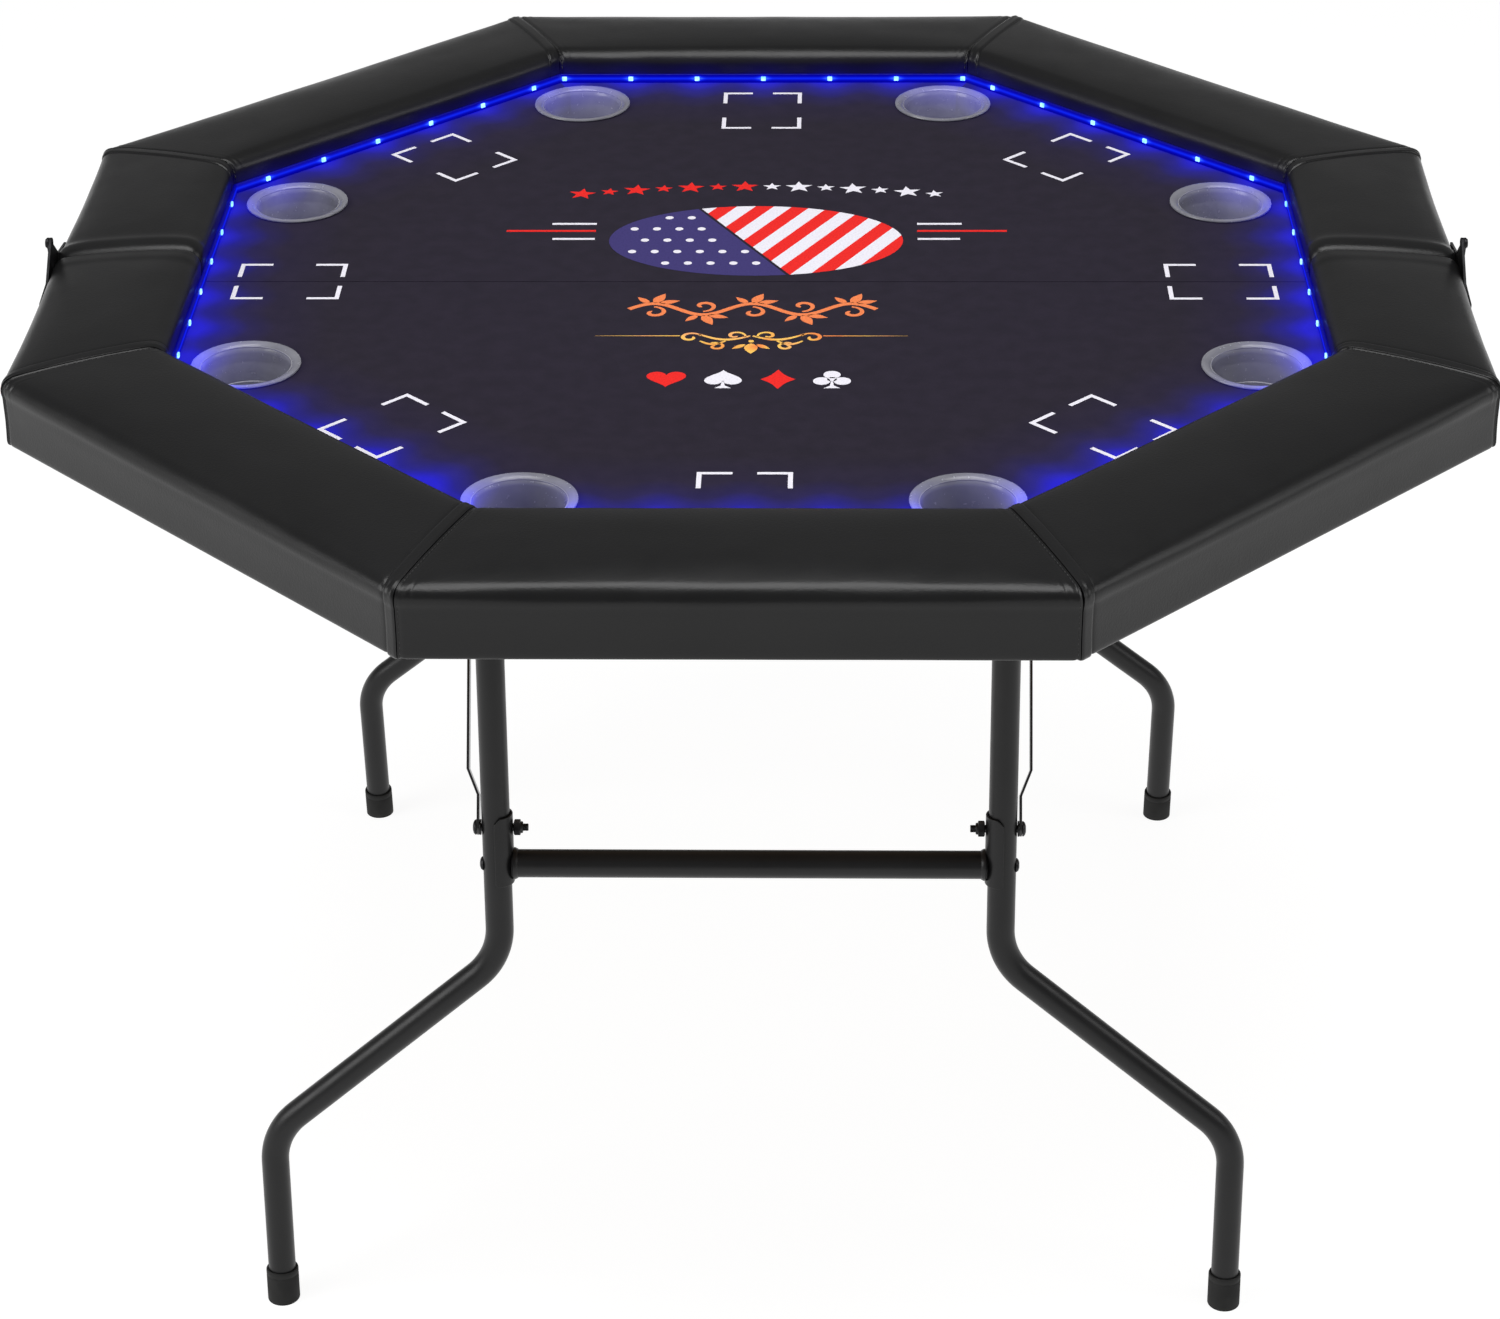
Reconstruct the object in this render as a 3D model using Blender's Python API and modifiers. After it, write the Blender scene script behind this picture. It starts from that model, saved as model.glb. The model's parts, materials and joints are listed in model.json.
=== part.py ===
"""A folding octagonal card table, open and standing on the floor.

Two hinged half tops with a padded rail, a printed cloth, drop-in cup holders, a light strip and a
folding tube leg set each. Metres, +Z up, -Y is the front. The origin is on the floor below the
middle of the table. Each half is modelled as the front half; the rear one is turned half way round.
"""

import math

import bmesh
import bpy
from mathutils import Matrix, Vector

GAP = 0.0003  # between pieces that touch

# Top
APOTHEM = 0.5631  # middle of the table to the rail's outer face
RAIL_TOP = 0.767
RAIL_BOTTOM = 0.702
RAIL_WIDTH = 0.1186
PADDING = 0.0117  # foam and cover around the rail's core
RAIL_ROUND = 0.014
BOARD_TOP = 0.7330
BOARD_THICKNESS = 0.012
CLOTH_THICKNESS = 0.0009
CLOTH_TOP = BOARD_TOP + GAP + CLOTH_THICKNESS
CORE_LIP = 0.0166  # how far the core reaches in over the board
FOLD_GAP = 0.001  # between the two halves
HALF_CORNER = math.radians(22.5)
CORNERS = [math.radians(a) for a in (-22.5, -67.5, -112.5, -157.5)]

# Cup holders
CUP_CIRCLE = 0.42
CUP_FLANGE = 0.0425
CUP_MOUTH = 0.0332
CUP_BASE = 0.0300
CUP_WALL = 0.0015
CUP_DEPTH = 0.060
CUP_HOLE = 0.0368

# Light strip and its switch box
STRIP_THICKNESS = 0.002
STRIP_HEIGHT = 0.008
BOX_PLACE = (0.0, -0.437)
BOX_SIZE = (0.050, 0.028, 0.0175)
BUTTON_RADIUS = 0.0055
BUTTON_TRAVEL = 0.0012

# Fold hinges on the outer faces of the side rails
FOLD_Z = 0.7676
EYE_RADIUS = 0.0045
HINGE_PIN = 0.0020
HINGE_PIN_HEAD = 0.0036
HINGE_PLATE = 0.0020
STRAP_END = 0.062  # how far a leaf reaches from the fold
STRAP_LOW, STRAP_HIGH = 0.722, 0.742
HINGE_FACE = APOTHEM + GAP  # inner face of the first hinge plate

# Leg sets; s is the distance down the leg from its pivot
TUBE = 0.011
PIVOT_Y = 0.30
PIVOT_Z = 0.690
FOOT_Y = 0.375
LEAN = math.atan2(FOOT_Y - PIVOT_Y, PIVOT_Z)
UPRIGHT_X = 0.195
FOOT_X = 0.382
UPPER_BEND_Z = 0.3105
LOWER_BEND_Z = 0.1525
BEND_RADIUS = 0.056
PIVOT_TUBE_END = 0.2290
CROSSBAR_Z = 0.3915
BOLT_S = 0.2693
SADDLE_Z = (0.3765, 0.4345)
SADDLE_RADIUS = 0.0132
BORE = 0.0114  # clearance around a tube
BOLT = 0.003
BOLT_HOLE = 0.0034
CAP_RADIUS = 0.013
CAP_HEIGHT = 0.028
CAP_FLOOR = 0.0045

# Stays; their planes are distances from the table's middle along X
STAY_WIDTH = 0.012
STAY_THICKNESS = 0.002
UPPER_STAY = 0.105
ANCHOR_Y = 0.155
ANCHOR_Z = 0.703
BOLT_PLANE = 0.2086
LOWER_PLANE = 0.2166
UPPER_PLANE = 0.2191
JOGGLE = (0.025, 0.045)
RIVET = 0.005
EAR_PLANE = 0.2235

LOOKS = {
    "leather": ((0.020, 0.020, 0.021), 0.38, 0.0),
    "wood": ((0.42, 0.29, 0.17), 0.75, 0.0),
    "cloth": ((0.021, 0.016, 0.028), 0.9, 0.0),
    "cup": ((0.30, 0.31, 0.35), 0.25, 0.0),
    "light": ((0.02, 0.05, 0.9), 0.4, 0.0),
    "paint": ((0.012, 0.012, 0.013), 0.35, 0.2),
    "steel": ((0.30, 0.31, 0.33), 0.35, 1.0),
    "rubber": ((0.02, 0.02, 0.02), 0.8, 0.0),
    "plastic": ((0.015, 0.015, 0.016), 0.5, 0.0),
}


def clear_scene():
    for obj in list(bpy.data.objects):
        bpy.data.objects.remove(obj)


def collection(name):
    made = bpy.data.collections.new(name)
    bpy.context.scene.collection.children.link(made)
    return made


clear_scene()
TABLE = collection("card_table")
TOOLS = collection("cutters_and_joiners")


def material(name, look):
    colour, roughness, metallic = LOOKS[look]
    made = bpy.data.materials.new(name)
    made.use_nodes = True
    shader = made.node_tree.nodes["Principled BSDF"]
    shader.inputs["Base Color"].default_value = (*colour, 1)
    shader.inputs["Roughness"].default_value = roughness
    shader.inputs["Metallic"].default_value = metallic
    return made


def add(name, data, parent, look=None):
    """An object of the table, or a boolean tool when it has no look."""
    obj = bpy.data.objects.new(name, data)
    obj.parent = parent
    if look:
        TABLE.objects.link(obj)
        data.materials.append(material(name, look))
    else:
        TOOLS.objects.link(obj)
        obj.hide_render = True
        obj.display_type = "WIRE"
    return obj


def empty(name, place, parent=None, turn=(0, 0, 0)):
    obj = bpy.data.objects.new(name, None)
    TABLE.objects.link(obj)
    obj.parent = parent
    obj.location = place
    obj.rotation_euler = turn
    obj.empty_display_size = 0.03
    return obj


def mesh_of(bm, name):
    bmesh.ops.recalc_face_normals(bm, faces=bm.faces)
    mesh = bpy.data.meshes.new(name)
    bm.to_mesh(mesh)
    bm.free()
    return mesh


def smooth(mesh):
    mesh.shade_smooth()
    mesh.set_sharp_from_angle(angle=math.radians(35))


def block(name, low, high, parent, look=None):
    """A box between two opposite corners."""
    low, high = Vector(low), Vector(high)
    bm = bmesh.new()
    size = Matrix.Diagonal((*(high - low), 1))
    bmesh.ops.create_cube(bm, size=1, matrix=Matrix.Translation((low + high) / 2) @ size)
    return add(name, mesh_of(bm, name), parent, look)


def rod(name, start, end, radius, parent, look=None, sides=16):
    """A cylinder from start to end."""
    start, end = Vector(start), Vector(end)
    axis = end - start
    place = Matrix.Translation((start + end) / 2) @ axis.to_track_quat("Z", "Y").to_matrix().to_4x4()
    bm = bmesh.new()
    bmesh.ops.create_cone(bm, cap_ends=True, segments=sides, radius1=radius, radius2=radius,
                          depth=axis.length, matrix=place)
    mesh = mesh_of(bm, name)
    smooth(mesh)
    return add(name, mesh, parent, look)


def rod_x(name, x0, x1, z, radius, parent, look=None, sides=16, y=0.0):
    return rod(name, (x0, y, z), (x1, y, z), radius, parent, look, sides)


def combine(obj, tools, operation):
    for tool in tools:
        modifier = obj.modifiers.new(tool.name, "BOOLEAN")
        modifier.object = tool
        modifier.operation = operation


def arc(x, y, radius, start, end, steps):
    """Points round an arc, angles in degrees."""
    turns = [math.radians(start + (end - start) * i / steps) for i in range(steps + 1)]
    return [(x + radius * math.cos(a), y + radius * math.sin(a)) for a in turns]


def circle(x, y, radius, steps):
    return arc(x, y, radius, 0, 360, steps)[:-1]


def plate(name, outlines, thickness, place, parent, look=None, turn=(0, 0, 0)):
    """A flat plate centred on its plane. The first outline is its edge, the others are holes."""
    curve = bpy.data.curves.new(name, "CURVE")
    curve.dimensions = "2D"
    curve.fill_mode = "BOTH"
    curve.extrude = thickness / 2
    for outline in outlines:
        spline = curve.splines.new("POLY")
        spline.points.add(len(outline) - 1)
        spline.use_cyclic_u = True
        for point, (x, y) in zip(spline.points, outline):
            point.co = (x, y, 0, 1)
    obj = add(name, curve, parent, look)
    obj.location = place
    obj.rotation_euler = turn
    return obj


UPRIGHT = (math.pi / 2, 0, math.pi / 2)  # turns a plate so that its outline lies in Y and Z


def as_mesh(obj, look=None):
    """The same piece as a mesh with its caps welded, so that a boolean can use it."""
    name, parent = obj.name, obj.parent
    graph = bpy.context.evaluated_depsgraph_get()
    mesh = bpy.data.meshes.new_from_object(obj.evaluated_get(graph))
    bm = bmesh.new()
    bm.from_mesh(mesh)
    bmesh.ops.remove_doubles(bm, verts=bm.verts, dist=0.00001)
    bmesh.ops.recalc_face_normals(bm, faces=bm.faces)
    bm.to_mesh(mesh)
    bm.free()
    mesh.materials.clear()
    place, turn = obj.location.copy(), obj.rotation_euler.copy()
    bpy.data.objects.remove(obj)
    made = add(name, mesh, parent, look)
    made.location = place
    made.rotation_euler = turn
    return made


def turned(name, profile, place, parent, look, steps=24):
    """A solid of revolution about Z."""
    bm = bmesh.new()
    points = [bm.verts.new((r, 0, z)) for r, z in profile]
    for start, end in zip(points, points[1:]):
        bm.edges.new((start, end))
    mesh = bpy.data.meshes.new(name)
    bm.to_mesh(mesh)
    bm.free()
    obj = add(name, mesh, parent, look)
    obj.location = place
    screw = obj.modifiers.new("turn", "SCREW")
    screw.steps = screw.render_steps = steps
    screw.use_merge_vertices = True
    screw.merge_threshold = 0.00001
    screw.use_smooth_shade = True
    return obj


# Half tops

def fold_station(side):
    """Where a half's ring ends at the fold: a fixed offset and a direction that a reach multiplies."""
    return Vector((0, -FOLD_GAP / 2, 0)), Vector((side, 0, 0))


def corner_station(angle):
    return Vector(), Vector((math.cos(angle), math.sin(angle), 0)) / math.cos(HALF_CORNER)


STATIONS = [fold_station(1)] + [corner_station(a) for a in CORNERS] + [fold_station(-1)]


def at(station, apothem, z=0.0):
    offset, direction = station
    return offset + direction * apothem + Vector((0, 0, z))


def sweep(name, section, stations, parent, look):
    """A closed section of (apothem, z) points lofted from station to station round the octagon."""
    bm = bmesh.new()
    rings = []
    for station in stations:
        points = [bm.verts.new(at(station, r, z)) for r, z in section]
        edges = [bm.edges.new((a, b)) for a, b in zip(points, points[1:] + points[:1])]
        rings.append((points, edges))
    for (_, first), (_, second) in zip(rings, rings[1:]):
        bmesh.ops.bridge_loops(bm, edges=first + second)
    for points, _ in (rings[0], rings[-1]):
        bm.faces.new(points)
    return add(name, mesh_of(bm, name), parent, look)


def drawn_in(first, second, apothem, gap):
    """Two neighbouring stations moved towards each other, so that mitred pieces don't touch."""
    along = (at(second, apothem) - at(first, apothem)).normalized() * gap
    return (first[0] + along, first[1]), (second[0] - along, second[1])


def half_outline(apothem):
    return [tuple(at(station, apothem).xy) for station in STATIONS]


def cup_places():
    return [(CUP_CIRCLE * math.cos(a), CUP_CIRCLE * math.sin(a)) for a in CORNERS]


def side_word(half, x):
    """Left or right as seen from the front, for a place given in the front half's frame."""
    turned_round = half == "rear"
    return "right" if (x > 0) != turned_round else "left"


def board_and_cloth(half, frame):
    holes = [circle(x, y, CUP_HOLE, 24) for x, y in cup_places()]
    board_edge = half_outline(APOTHEM - RAIL_WIDTH + PADDING + CORE_LIP)
    plate(f"{half}_board", [board_edge] + holes, BOARD_THICKNESS,
          (0, 0, BOARD_TOP - BOARD_THICKNESS / 2), frame, "wood")
    cloth_edge = half_outline(APOTHEM - RAIL_WIDTH + PADDING - GAP)
    plate(f"{half}_playing_cloth", [cloth_edge] + holes, CLOTH_THICKNESS,
          (0, 0, CLOTH_TOP - CLOTH_THICKNESS / 2), frame, "cloth")


def rail_core(half, frame):
    outer = APOTHEM - PADDING - GAP
    inner = APOTHEM - RAIL_WIDTH + PADDING
    step = inner + CORE_LIP + GAP
    top, low = RAIL_TOP - PADDING - 0.005, RAIL_BOTTOM + 0.0005
    lip = BOARD_TOP + GAP
    section = [(outer, low), (outer, top), (inner, top), (inner, lip), (step, lip), (step, low)]
    sweep(f"{half}_rail_core", section, STATIONS, frame, "wood")


def cushion_section():
    """An upside-down U over the core: long outer wall, rounded top, short wall on the cloth."""
    outer, inner = APOTHEM, APOTHEM - RAIL_WIDTH
    centre = RAIL_TOP - RAIL_ROUND
    under = RAIL_TOP - PADDING - 0.005 + GAP
    foot = CLOTH_TOP + 0.0005
    outer_top = arc(outer - RAIL_ROUND, centre, RAIL_ROUND, 0, 90, 4)
    inner_top = arc(inner + RAIL_ROUND, centre, RAIL_ROUND, 90, 180, 4)
    inside = [(inner, foot), (inner + PADDING - GAP, foot), (inner + PADDING - GAP, under),
              (outer - PADDING, under), (outer - PADDING, RAIL_BOTTOM)]
    return [(outer, RAIL_BOTTOM)] + outer_top + inner_top + inside


def cushions(half, frame):
    places = ((1, "side"), (1, "diagonal"), (0, ""), (-1, "diagonal"), (-1, "side"))
    for (x, word), first, second in zip(places, STATIONS, STATIONS[1:]):
        side = side_word(half, x)
        name = f"{half}_{side}_{word}_cushion" if x else f"{half}_cushion"
        ends = drawn_in(first, second, APOTHEM, GAP)
        sweep(name, cushion_section(), ends, frame, "leather")


def light_strip(half, frame):
    outer = APOTHEM - RAIL_WIDTH - GAP
    low = CLOTH_TOP + 0.0004
    section = [(outer, low), (outer, low + STRIP_HEIGHT),
               (outer - STRIP_THICKNESS, low + STRIP_HEIGHT), (outer - STRIP_THICKNESS, low)]
    sweep(f"{half}_light_strip", section, STATIONS, frame, "light")


def cup_profile():
    top = CLOTH_TOP + 0.0004 + 0.0022
    bottom = top - CUP_DEPTH
    under = CLOTH_TOP + 0.0004
    return [(0, bottom + CUP_WALL), (CUP_BASE, bottom + CUP_WALL), (CUP_MOUTH, top - 0.002),
            (CUP_MOUTH + 0.002, top), (CUP_FLANGE, top), (CUP_FLANGE, under),
            (CUP_MOUTH + CUP_WALL, under), (CUP_BASE + CUP_WALL, bottom), (0, bottom)]


def cups(half, frame):
    for (x, y), word in zip(cup_places(), ("side", "end", "end", "side")):
        name = f"{half}_{side_word(half, x)}_{word}_cup_holder"
        turned(name, cup_profile(), (x, y, 0), frame, "cup")


def switch_box(frame):
    """The light strip's control box under the board, with an inlet in its side and a push button."""
    x, y = BOX_PLACE
    wide, deep, high = BOX_SIZE
    top = BOARD_TOP - BOARD_THICKNESS - GAP
    box = block("light_control_box", (x - wide / 2, y - deep / 2, top - high),
                (x + wide / 2, y + deep / 2, top), frame, "plastic")
    inlet = rod_x("inlet_hole", x + wide / 2 - 0.009, x + wide / 2 + 0.002, top - high / 2,
                  0.003, frame, y=y)
    well = rod("button_well", (x, y, top - high - 0.002), (x, y, top - high + 0.0062),
               BUTTON_RADIUS + 2 * GAP, frame, sides=20)
    combine(box, (inlet, well), "DIFFERENCE")
    slide = empty("light_button_slide", (x, y, top - high), frame)
    rod("light_button", (0, 0, -0.0016), (0, 0, 0.0044), BUTTON_RADIUS, slide, "plastic", 20)


# Fold hinges

def hinge_leaf_outline(side_y):
    """A strap below the rail's top edge that rises to an eye on the fold axis."""
    strap = [(STRAP_END, STRAP_LOW), (STRAP_END, STRAP_HIGH), (STRAP_END / 2, STRAP_HIGH + 0.004)]
    eye = arc(0, FOLD_Z, EYE_RADIUS, 60, 250, 8)
    points = strap + eye + [(2 * EYE_RADIUS, STRAP_LOW)]
    return [(side_y * y, z) for y, z in points]


def front_hinge_leaf(side, frame):
    x = side * (HINGE_FACE + HINGE_PLATE / 2)
    hole = circle(0, FOLD_Z, HINGE_PIN + GAP, 12)
    word = side_word("front", side)
    plate(f"front_{word}_fold_hinge", [hinge_leaf_outline(-1), hole], HINGE_PLATE,
          (x, 0, 0), frame, "paint", UPRIGHT)


def rear_hinge_leaf(side, frame):
    """Lies over the front leaf's eye, carries the pin, and stands on a spacer against its rail."""
    word = side_word("rear", side)
    plane = HINGE_FACE + HINGE_PLATE + GAP + HINGE_PLATE / 2
    outer = plane + HINGE_PLATE / 2
    name = f"rear_{word}_fold_hinge"
    leaf = plate(name, [hinge_leaf_outline(-1)], HINGE_PLATE, (side * plane, 0, 0), frame,
                 "paint", UPRIGHT)
    leaf = as_mesh(leaf, "paint")
    corners = sorted_box(side, HINGE_FACE, plane, -STRAP_END + 0.002, -0.014, STRAP_LOW + 0.002,
                         STRAP_HIGH - 0.002)
    spacer = block(f"{name}_spacer", *corners, frame)
    pin = rod_x(f"{name}_pin", side * HINGE_FACE, side * (outer + 0.0005), FOLD_Z, HINGE_PIN, frame,
                sides=12)
    head = rod_x(f"{name}_head", side * (outer - 0.0005), side * (outer + 0.001), FOLD_Z,
                 HINGE_PIN_HEAD, frame, sides=12)
    combine(leaf, (spacer, pin, head), "UNION")


def sorted_box(side, x0, x1, y0, y1, z0, z1):
    """Low and high corners of a box on one side of the table, x given as distances from its middle."""
    low_x, high_x = sorted((side * x0, side * x1))
    return (low_x, y0, z0), (high_x, y1, z1)


# Leg sets

def rounded_path(corners, radius, steps):
    """A polyline in X and Z with each inner corner turned into an arc."""
    points = [Vector(corners[0])]
    for before, here, after in zip(corners, corners[1:], corners[2:]):
        before, here, after = Vector(before), Vector(here), Vector(after)
        to_before, to_after = (before - here).normalized(), (after - here).normalized()
        half = to_before.angle(to_after) / 2
        centre = here + (to_before + to_after).normalized() * radius / math.sin(half)
        start = here + to_before * radius / math.tan(half)
        end = here + to_after * radius / math.tan(half)
        for i in range(steps + 1):
            ray = (start - centre).normalized().slerp((end - centre).normalized(), i / steps)
            points.append(centre + ray * radius)
    points.append(Vector(corners[-1]))
    return points


def along_leg(z):
    """Distance down a leg at a height of the standing table."""
    return (PIVOT_Z - z) / math.cos(LEAN)


def bolt_hole(name, side, parent):
    reach = 0.03
    return rod_x(name, side * (UPRIGHT_X - reach), side * (UPRIGHT_X + reach), -BOLT_S, BOLT_HOLE, parent,
                 sides=12)


def leg_tube(half, side, pivot):
    name = f"{half}_{side_word(half, side)}_leg_tube"
    length = along_leg(0)
    corners = [(side * UPRIGHT_X, 0, -TUBE - GAP), (side * UPRIGHT_X, 0, -along_leg(UPPER_BEND_Z)),
               (side * FOOT_X, 0, -along_leg(LOWER_BEND_Z)),
               (side * FOOT_X, 0, -length + CAP_FLOOR + 2 * GAP)]
    curve = bpy.data.curves.new(name, "CURVE")
    curve.dimensions = "3D"
    curve.bevel_depth = TUBE
    curve.bevel_resolution = 4
    curve.use_fill_caps = True
    spline = curve.splines.new("POLY")
    path = rounded_path(corners, BEND_RADIUS, 5)
    spline.points.add(len(path) - 1)
    for point, place in zip(spline.points, path):
        point.co = (*place, 1)
    tube = as_mesh(add(name, curve, pivot), "paint")
    smooth(tube.data)
    combine(tube, [bolt_hole(f"{name}_bolt_hole", side, pivot)], "DIFFERENCE")


def foot_cap(half, side, pivot, floor):
    """A rubber cap on the tube's end, cut level with the floor."""
    name = f"{half}_{side_word(half, side)}_foot_cap"
    length = along_leg(0)
    x = side * FOOT_X
    cap = rod(name, (x, 0, -length + CAP_HEIGHT), (x, 0, -length - 0.004), CAP_RADIUS, pivot, "rubber", 20)
    socket = rod(f"{name}_socket", (x, 0, -length + CAP_HEIGHT + 0.01), (x, 0, -length + CAP_FLOOR), BORE,
                 pivot, sides=20)
    combine(cap, (socket, floor), "DIFFERENCE")


def crossbar(half, pivot):
    """The bar between the uprights, welded to a half-round saddle at each end."""
    name = f"{half}_crossbar"
    s = along_leg(CROSSBAR_Z)
    bar = rod_x(name, -UPRIGHT_X, UPRIGHT_X, -s, TUBE, pivot, "paint", 20)
    low, high = -along_leg(SADDLE_Z[0]), -along_leg(SADDLE_Z[1])
    saddles, cuts = [], []
    for side in (-1, 1):
        word = side_word(half, side)
        x = side * UPRIGHT_X
        saddles.append(rod(f"{name}_{word}_saddle", (x, 0, low), (x, 0, high), SADDLE_RADIUS, pivot,
                           sides=24))
        below, above = low - 0.02, high + 0.02
        cuts.append(rod(f"{name}_{word}_seat", (x, 0, below), (x, 0, above), BORE, pivot, sides=24))
        corners = sorted_box(side, UPRIGHT_X - 0.001, UPRIGHT_X + 0.03, -0.03, 0.03, below, above)
        cuts.append(block(f"{name}_{word}_end", *corners, pivot))
        cuts.append(bolt_hole(f"{name}_{word}_bolt_hole", side, pivot))
    combine(bar, saddles, "UNION")
    combine(bar, cuts, "DIFFERENCE")


def bolt(half, side, pivot):
    """Holds the stay and the saddle to the upright: shank, head outside and nut inside, as one solid."""
    name = f"{half}_{side_word(half, side)}_stay_bolt"
    shank = rod_x(name, side * 0.1700, side * 0.2115, -BOLT_S, BOLT, pivot, "steel", 12)
    head = rod_x(f"{name}_head", side * 0.2100, side * 0.2128, -BOLT_S, 0.006, pivot, sides=16)
    nut = rod_x(f"{name}_nut", side * 0.1742, side * 0.1812, -BOLT_S, 0.0062, pivot, sides=6)
    combine(shank, (head, nut), "UNION")


def rest_line():
    """The bolt's and the anchor's places in Y and Z in the front half, and the stays' full length."""
    stay_bolt = Vector((-PIVOT_Y - BOLT_S * math.sin(LEAN), PIVOT_Z - BOLT_S * math.cos(LEAN)))
    anchor = Vector((-ANCHOR_Y, ANCHOR_Z))
    return stay_bolt, anchor, (anchor - stay_bolt).length


def stay_plate(name, length, plane, hole, parent):
    """A flat bar from its pivot along Y, rounded at both ends, with a hole at the pivot."""
    half_width = STAY_WIDTH / 2
    outline = arc(0, 0, half_width, 90, 270, 6) + arc(length, 0, half_width, -90, 90, 6)
    return as_mesh(plate(name, [outline, circle(0, 0, hole, 12)], STAY_THICKNESS, (plane, 0, 0), parent,
                         None, UPRIGHT), "steel")


def stay_rivet(stay, side, length, plane, away):
    """Half of the knee's rivet: a head on the stay's free face."""
    low, high = plane, plane + away * (STAY_THICKNESS / 2 + 0.0014)
    rivet = rod(f"{stay.name}_rivet", (side * low, length, 0), (side * high, length, 0), RIVET, stay.parent,
                sides=12)
    combine(stay, [rivet], "UNION")


def joggle(mesh, side):
    """Steps the far part of a lower stay outwards; its local X runs along the bar, Z across."""
    bm = bmesh.new()
    bm.from_mesh(mesh)
    for cut in JOGGLE:
        everything = bm.verts[:] + bm.edges[:] + bm.faces[:]
        bmesh.ops.bisect_plane(bm, geom=everything, plane_co=(cut, 0, 0), plane_no=(1, 0, 0))
    start, end = JOGGLE
    for vert in bm.verts:
        share = min(max((vert.co.x - start) / (end - start), 0), 1)
        vert.co.z += side * share * (LOWER_PLANE - BOLT_PLANE)
    bm.to_mesh(mesh)
    bm.free()


def stays(half, side, frame, pivot):
    word = side_word(half, side)
    stay_bolt, anchor, length = rest_line()
    up = anchor - stay_bolt
    angle = math.atan2(up.y, up.x)
    lower_length = length - UPPER_STAY
    lower_pivot = empty(f"{half}_{word}_lower_stay_pivot", (0, 0, -BOLT_S), pivot, (angle + LEAN, 0, 0))
    lower = stay_plate(f"{half}_{word}_lower_stay", lower_length, side * BOLT_PLANE, BOLT_HOLE, lower_pivot)
    joggle(lower.data, side)
    stay_rivet(lower, side, lower_length, LOWER_PLANE, -1)
    upper_pivot = empty(f"{half}_{word}_upper_stay_pivot", (0, *anchor), frame, (angle + math.pi, 0, 0))
    upper = stay_plate(f"{half}_{word}_upper_stay", UPPER_STAY, side * UPPER_PLANE, BOLT_HOLE, upper_pivot)
    stay_rivet(upper, side, UPPER_STAY, UPPER_PLANE, 1)


def ear_outline():
    """The side view of a mounting bracket: down round the leg pivot, up, and down round the anchor."""
    top = BOARD_TOP - BOARD_THICKNESS - 0.002
    pivot_lobe = arc(-PIVOT_Y, PIVOT_Z, 0.017, 180, 330, 8)
    anchor_lobe = arc(-ANCHOR_Y, ANCHOR_Z, 0.0095, 200, 360, 6)
    return ([(-PIVOT_Y - 0.017, top)] + pivot_lobe + [(-0.268, 0.709), (-ANCHOR_Y - 0.018, 0.709)]
            + anchor_lobe + [(-ANCHOR_Y + 0.0095, top)])


def bracket(half, side, frame):
    """A pressed bracket under the board that carries the leg pivot and the stay's anchor pin."""
    name = f"{half}_{side_word(half, side)}_leg_bracket"
    hole = circle(-PIVOT_Y, PIVOT_Z, BORE + 0.0002, 20)
    ear = as_mesh(plate(name, [ear_outline(), hole], 0.002, (side * EAR_PLANE, 0, 0), frame, None, UPRIGHT),
                  "paint")
    top = BOARD_TOP - BOARD_THICKNESS - GAP
    corners = sorted_box(side, 0.2075, 0.2415, -PIVOT_Y - 0.024, -ANCHOR_Y + 0.018, top - 0.002, top)
    base = block(f"{name}_base", *corners, frame)
    collar = rod_x(f"{name}_collar", side * 0.2205, side * EAR_PLANE, ANCHOR_Z, 0.0055, frame, y=-ANCHOR_Y)
    pin = rod_x(f"{name}_pin", side * 0.2155, side * EAR_PLANE, ANCHOR_Z, BOLT, frame, y=-ANCHOR_Y, sides=12)
    head = rod_x(f"{name}_pin_head", side * 0.2150, side * 0.2177, ANCHOR_Z, 0.0055, frame, y=-ANCHOR_Y)
    combine(ear, (base, collar, pin, head), "UNION")


def leg_set(half, frame, floor):
    pivot = empty(f"{half}_leg_pivot", (0, -PIVOT_Y, PIVOT_Z), frame, (-LEAN, 0, 0))
    rod_x(f"{half}_pivot_tube", -PIVOT_TUBE_END, PIVOT_TUBE_END, 0, TUBE, pivot, "paint", 20)
    crossbar(half, pivot)
    for side in (-1, 1):
        leg_tube(half, side, pivot)
        foot_cap(half, side, pivot, floor)
        bolt(half, side, pivot)
        bracket(half, side, frame)
        stays(half, side, frame, pivot)


def half_table(half, frame, floor):
    board_and_cloth(half, frame)
    rail_core(half, frame)
    cushions(half, frame)
    light_strip(half, frame)
    cups(half, frame)
    leg_set(half, frame, floor)
    for side in (-1, 1):
        leaf = front_hinge_leaf if half == "front" else rear_hinge_leaf
        leaf(side, frame)


def main():
    floor = block("below_floor", (-1, -1, -0.1), (1, 1, 0), None)
    front = empty("front_half", (0, 0, 0))
    fold_axis = empty("rear_half_fold_axis", (0, 0, FOLD_Z), None, (0, 0, math.pi))
    rear = empty("rear_half", (0, 0, -FOLD_Z), fold_axis)
    half_table("front", front, floor)
    half_table("rear", rear, floor)
    switch_box(front)


main()
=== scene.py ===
"""The looks of a folding octagonal card table, open and standing on the floor.

Leather rail covers, a printed cloth with a light strip round it, drop-in cups and two folding
tube leg sets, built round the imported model. Metres, +Z up, -Y is the front. What the two half
tops share is modelled once on the front half and turned half way round for the rear one.
"""

import json
import math

import bmesh
import bpy
from mathutils import Matrix, Vector, noise

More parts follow.
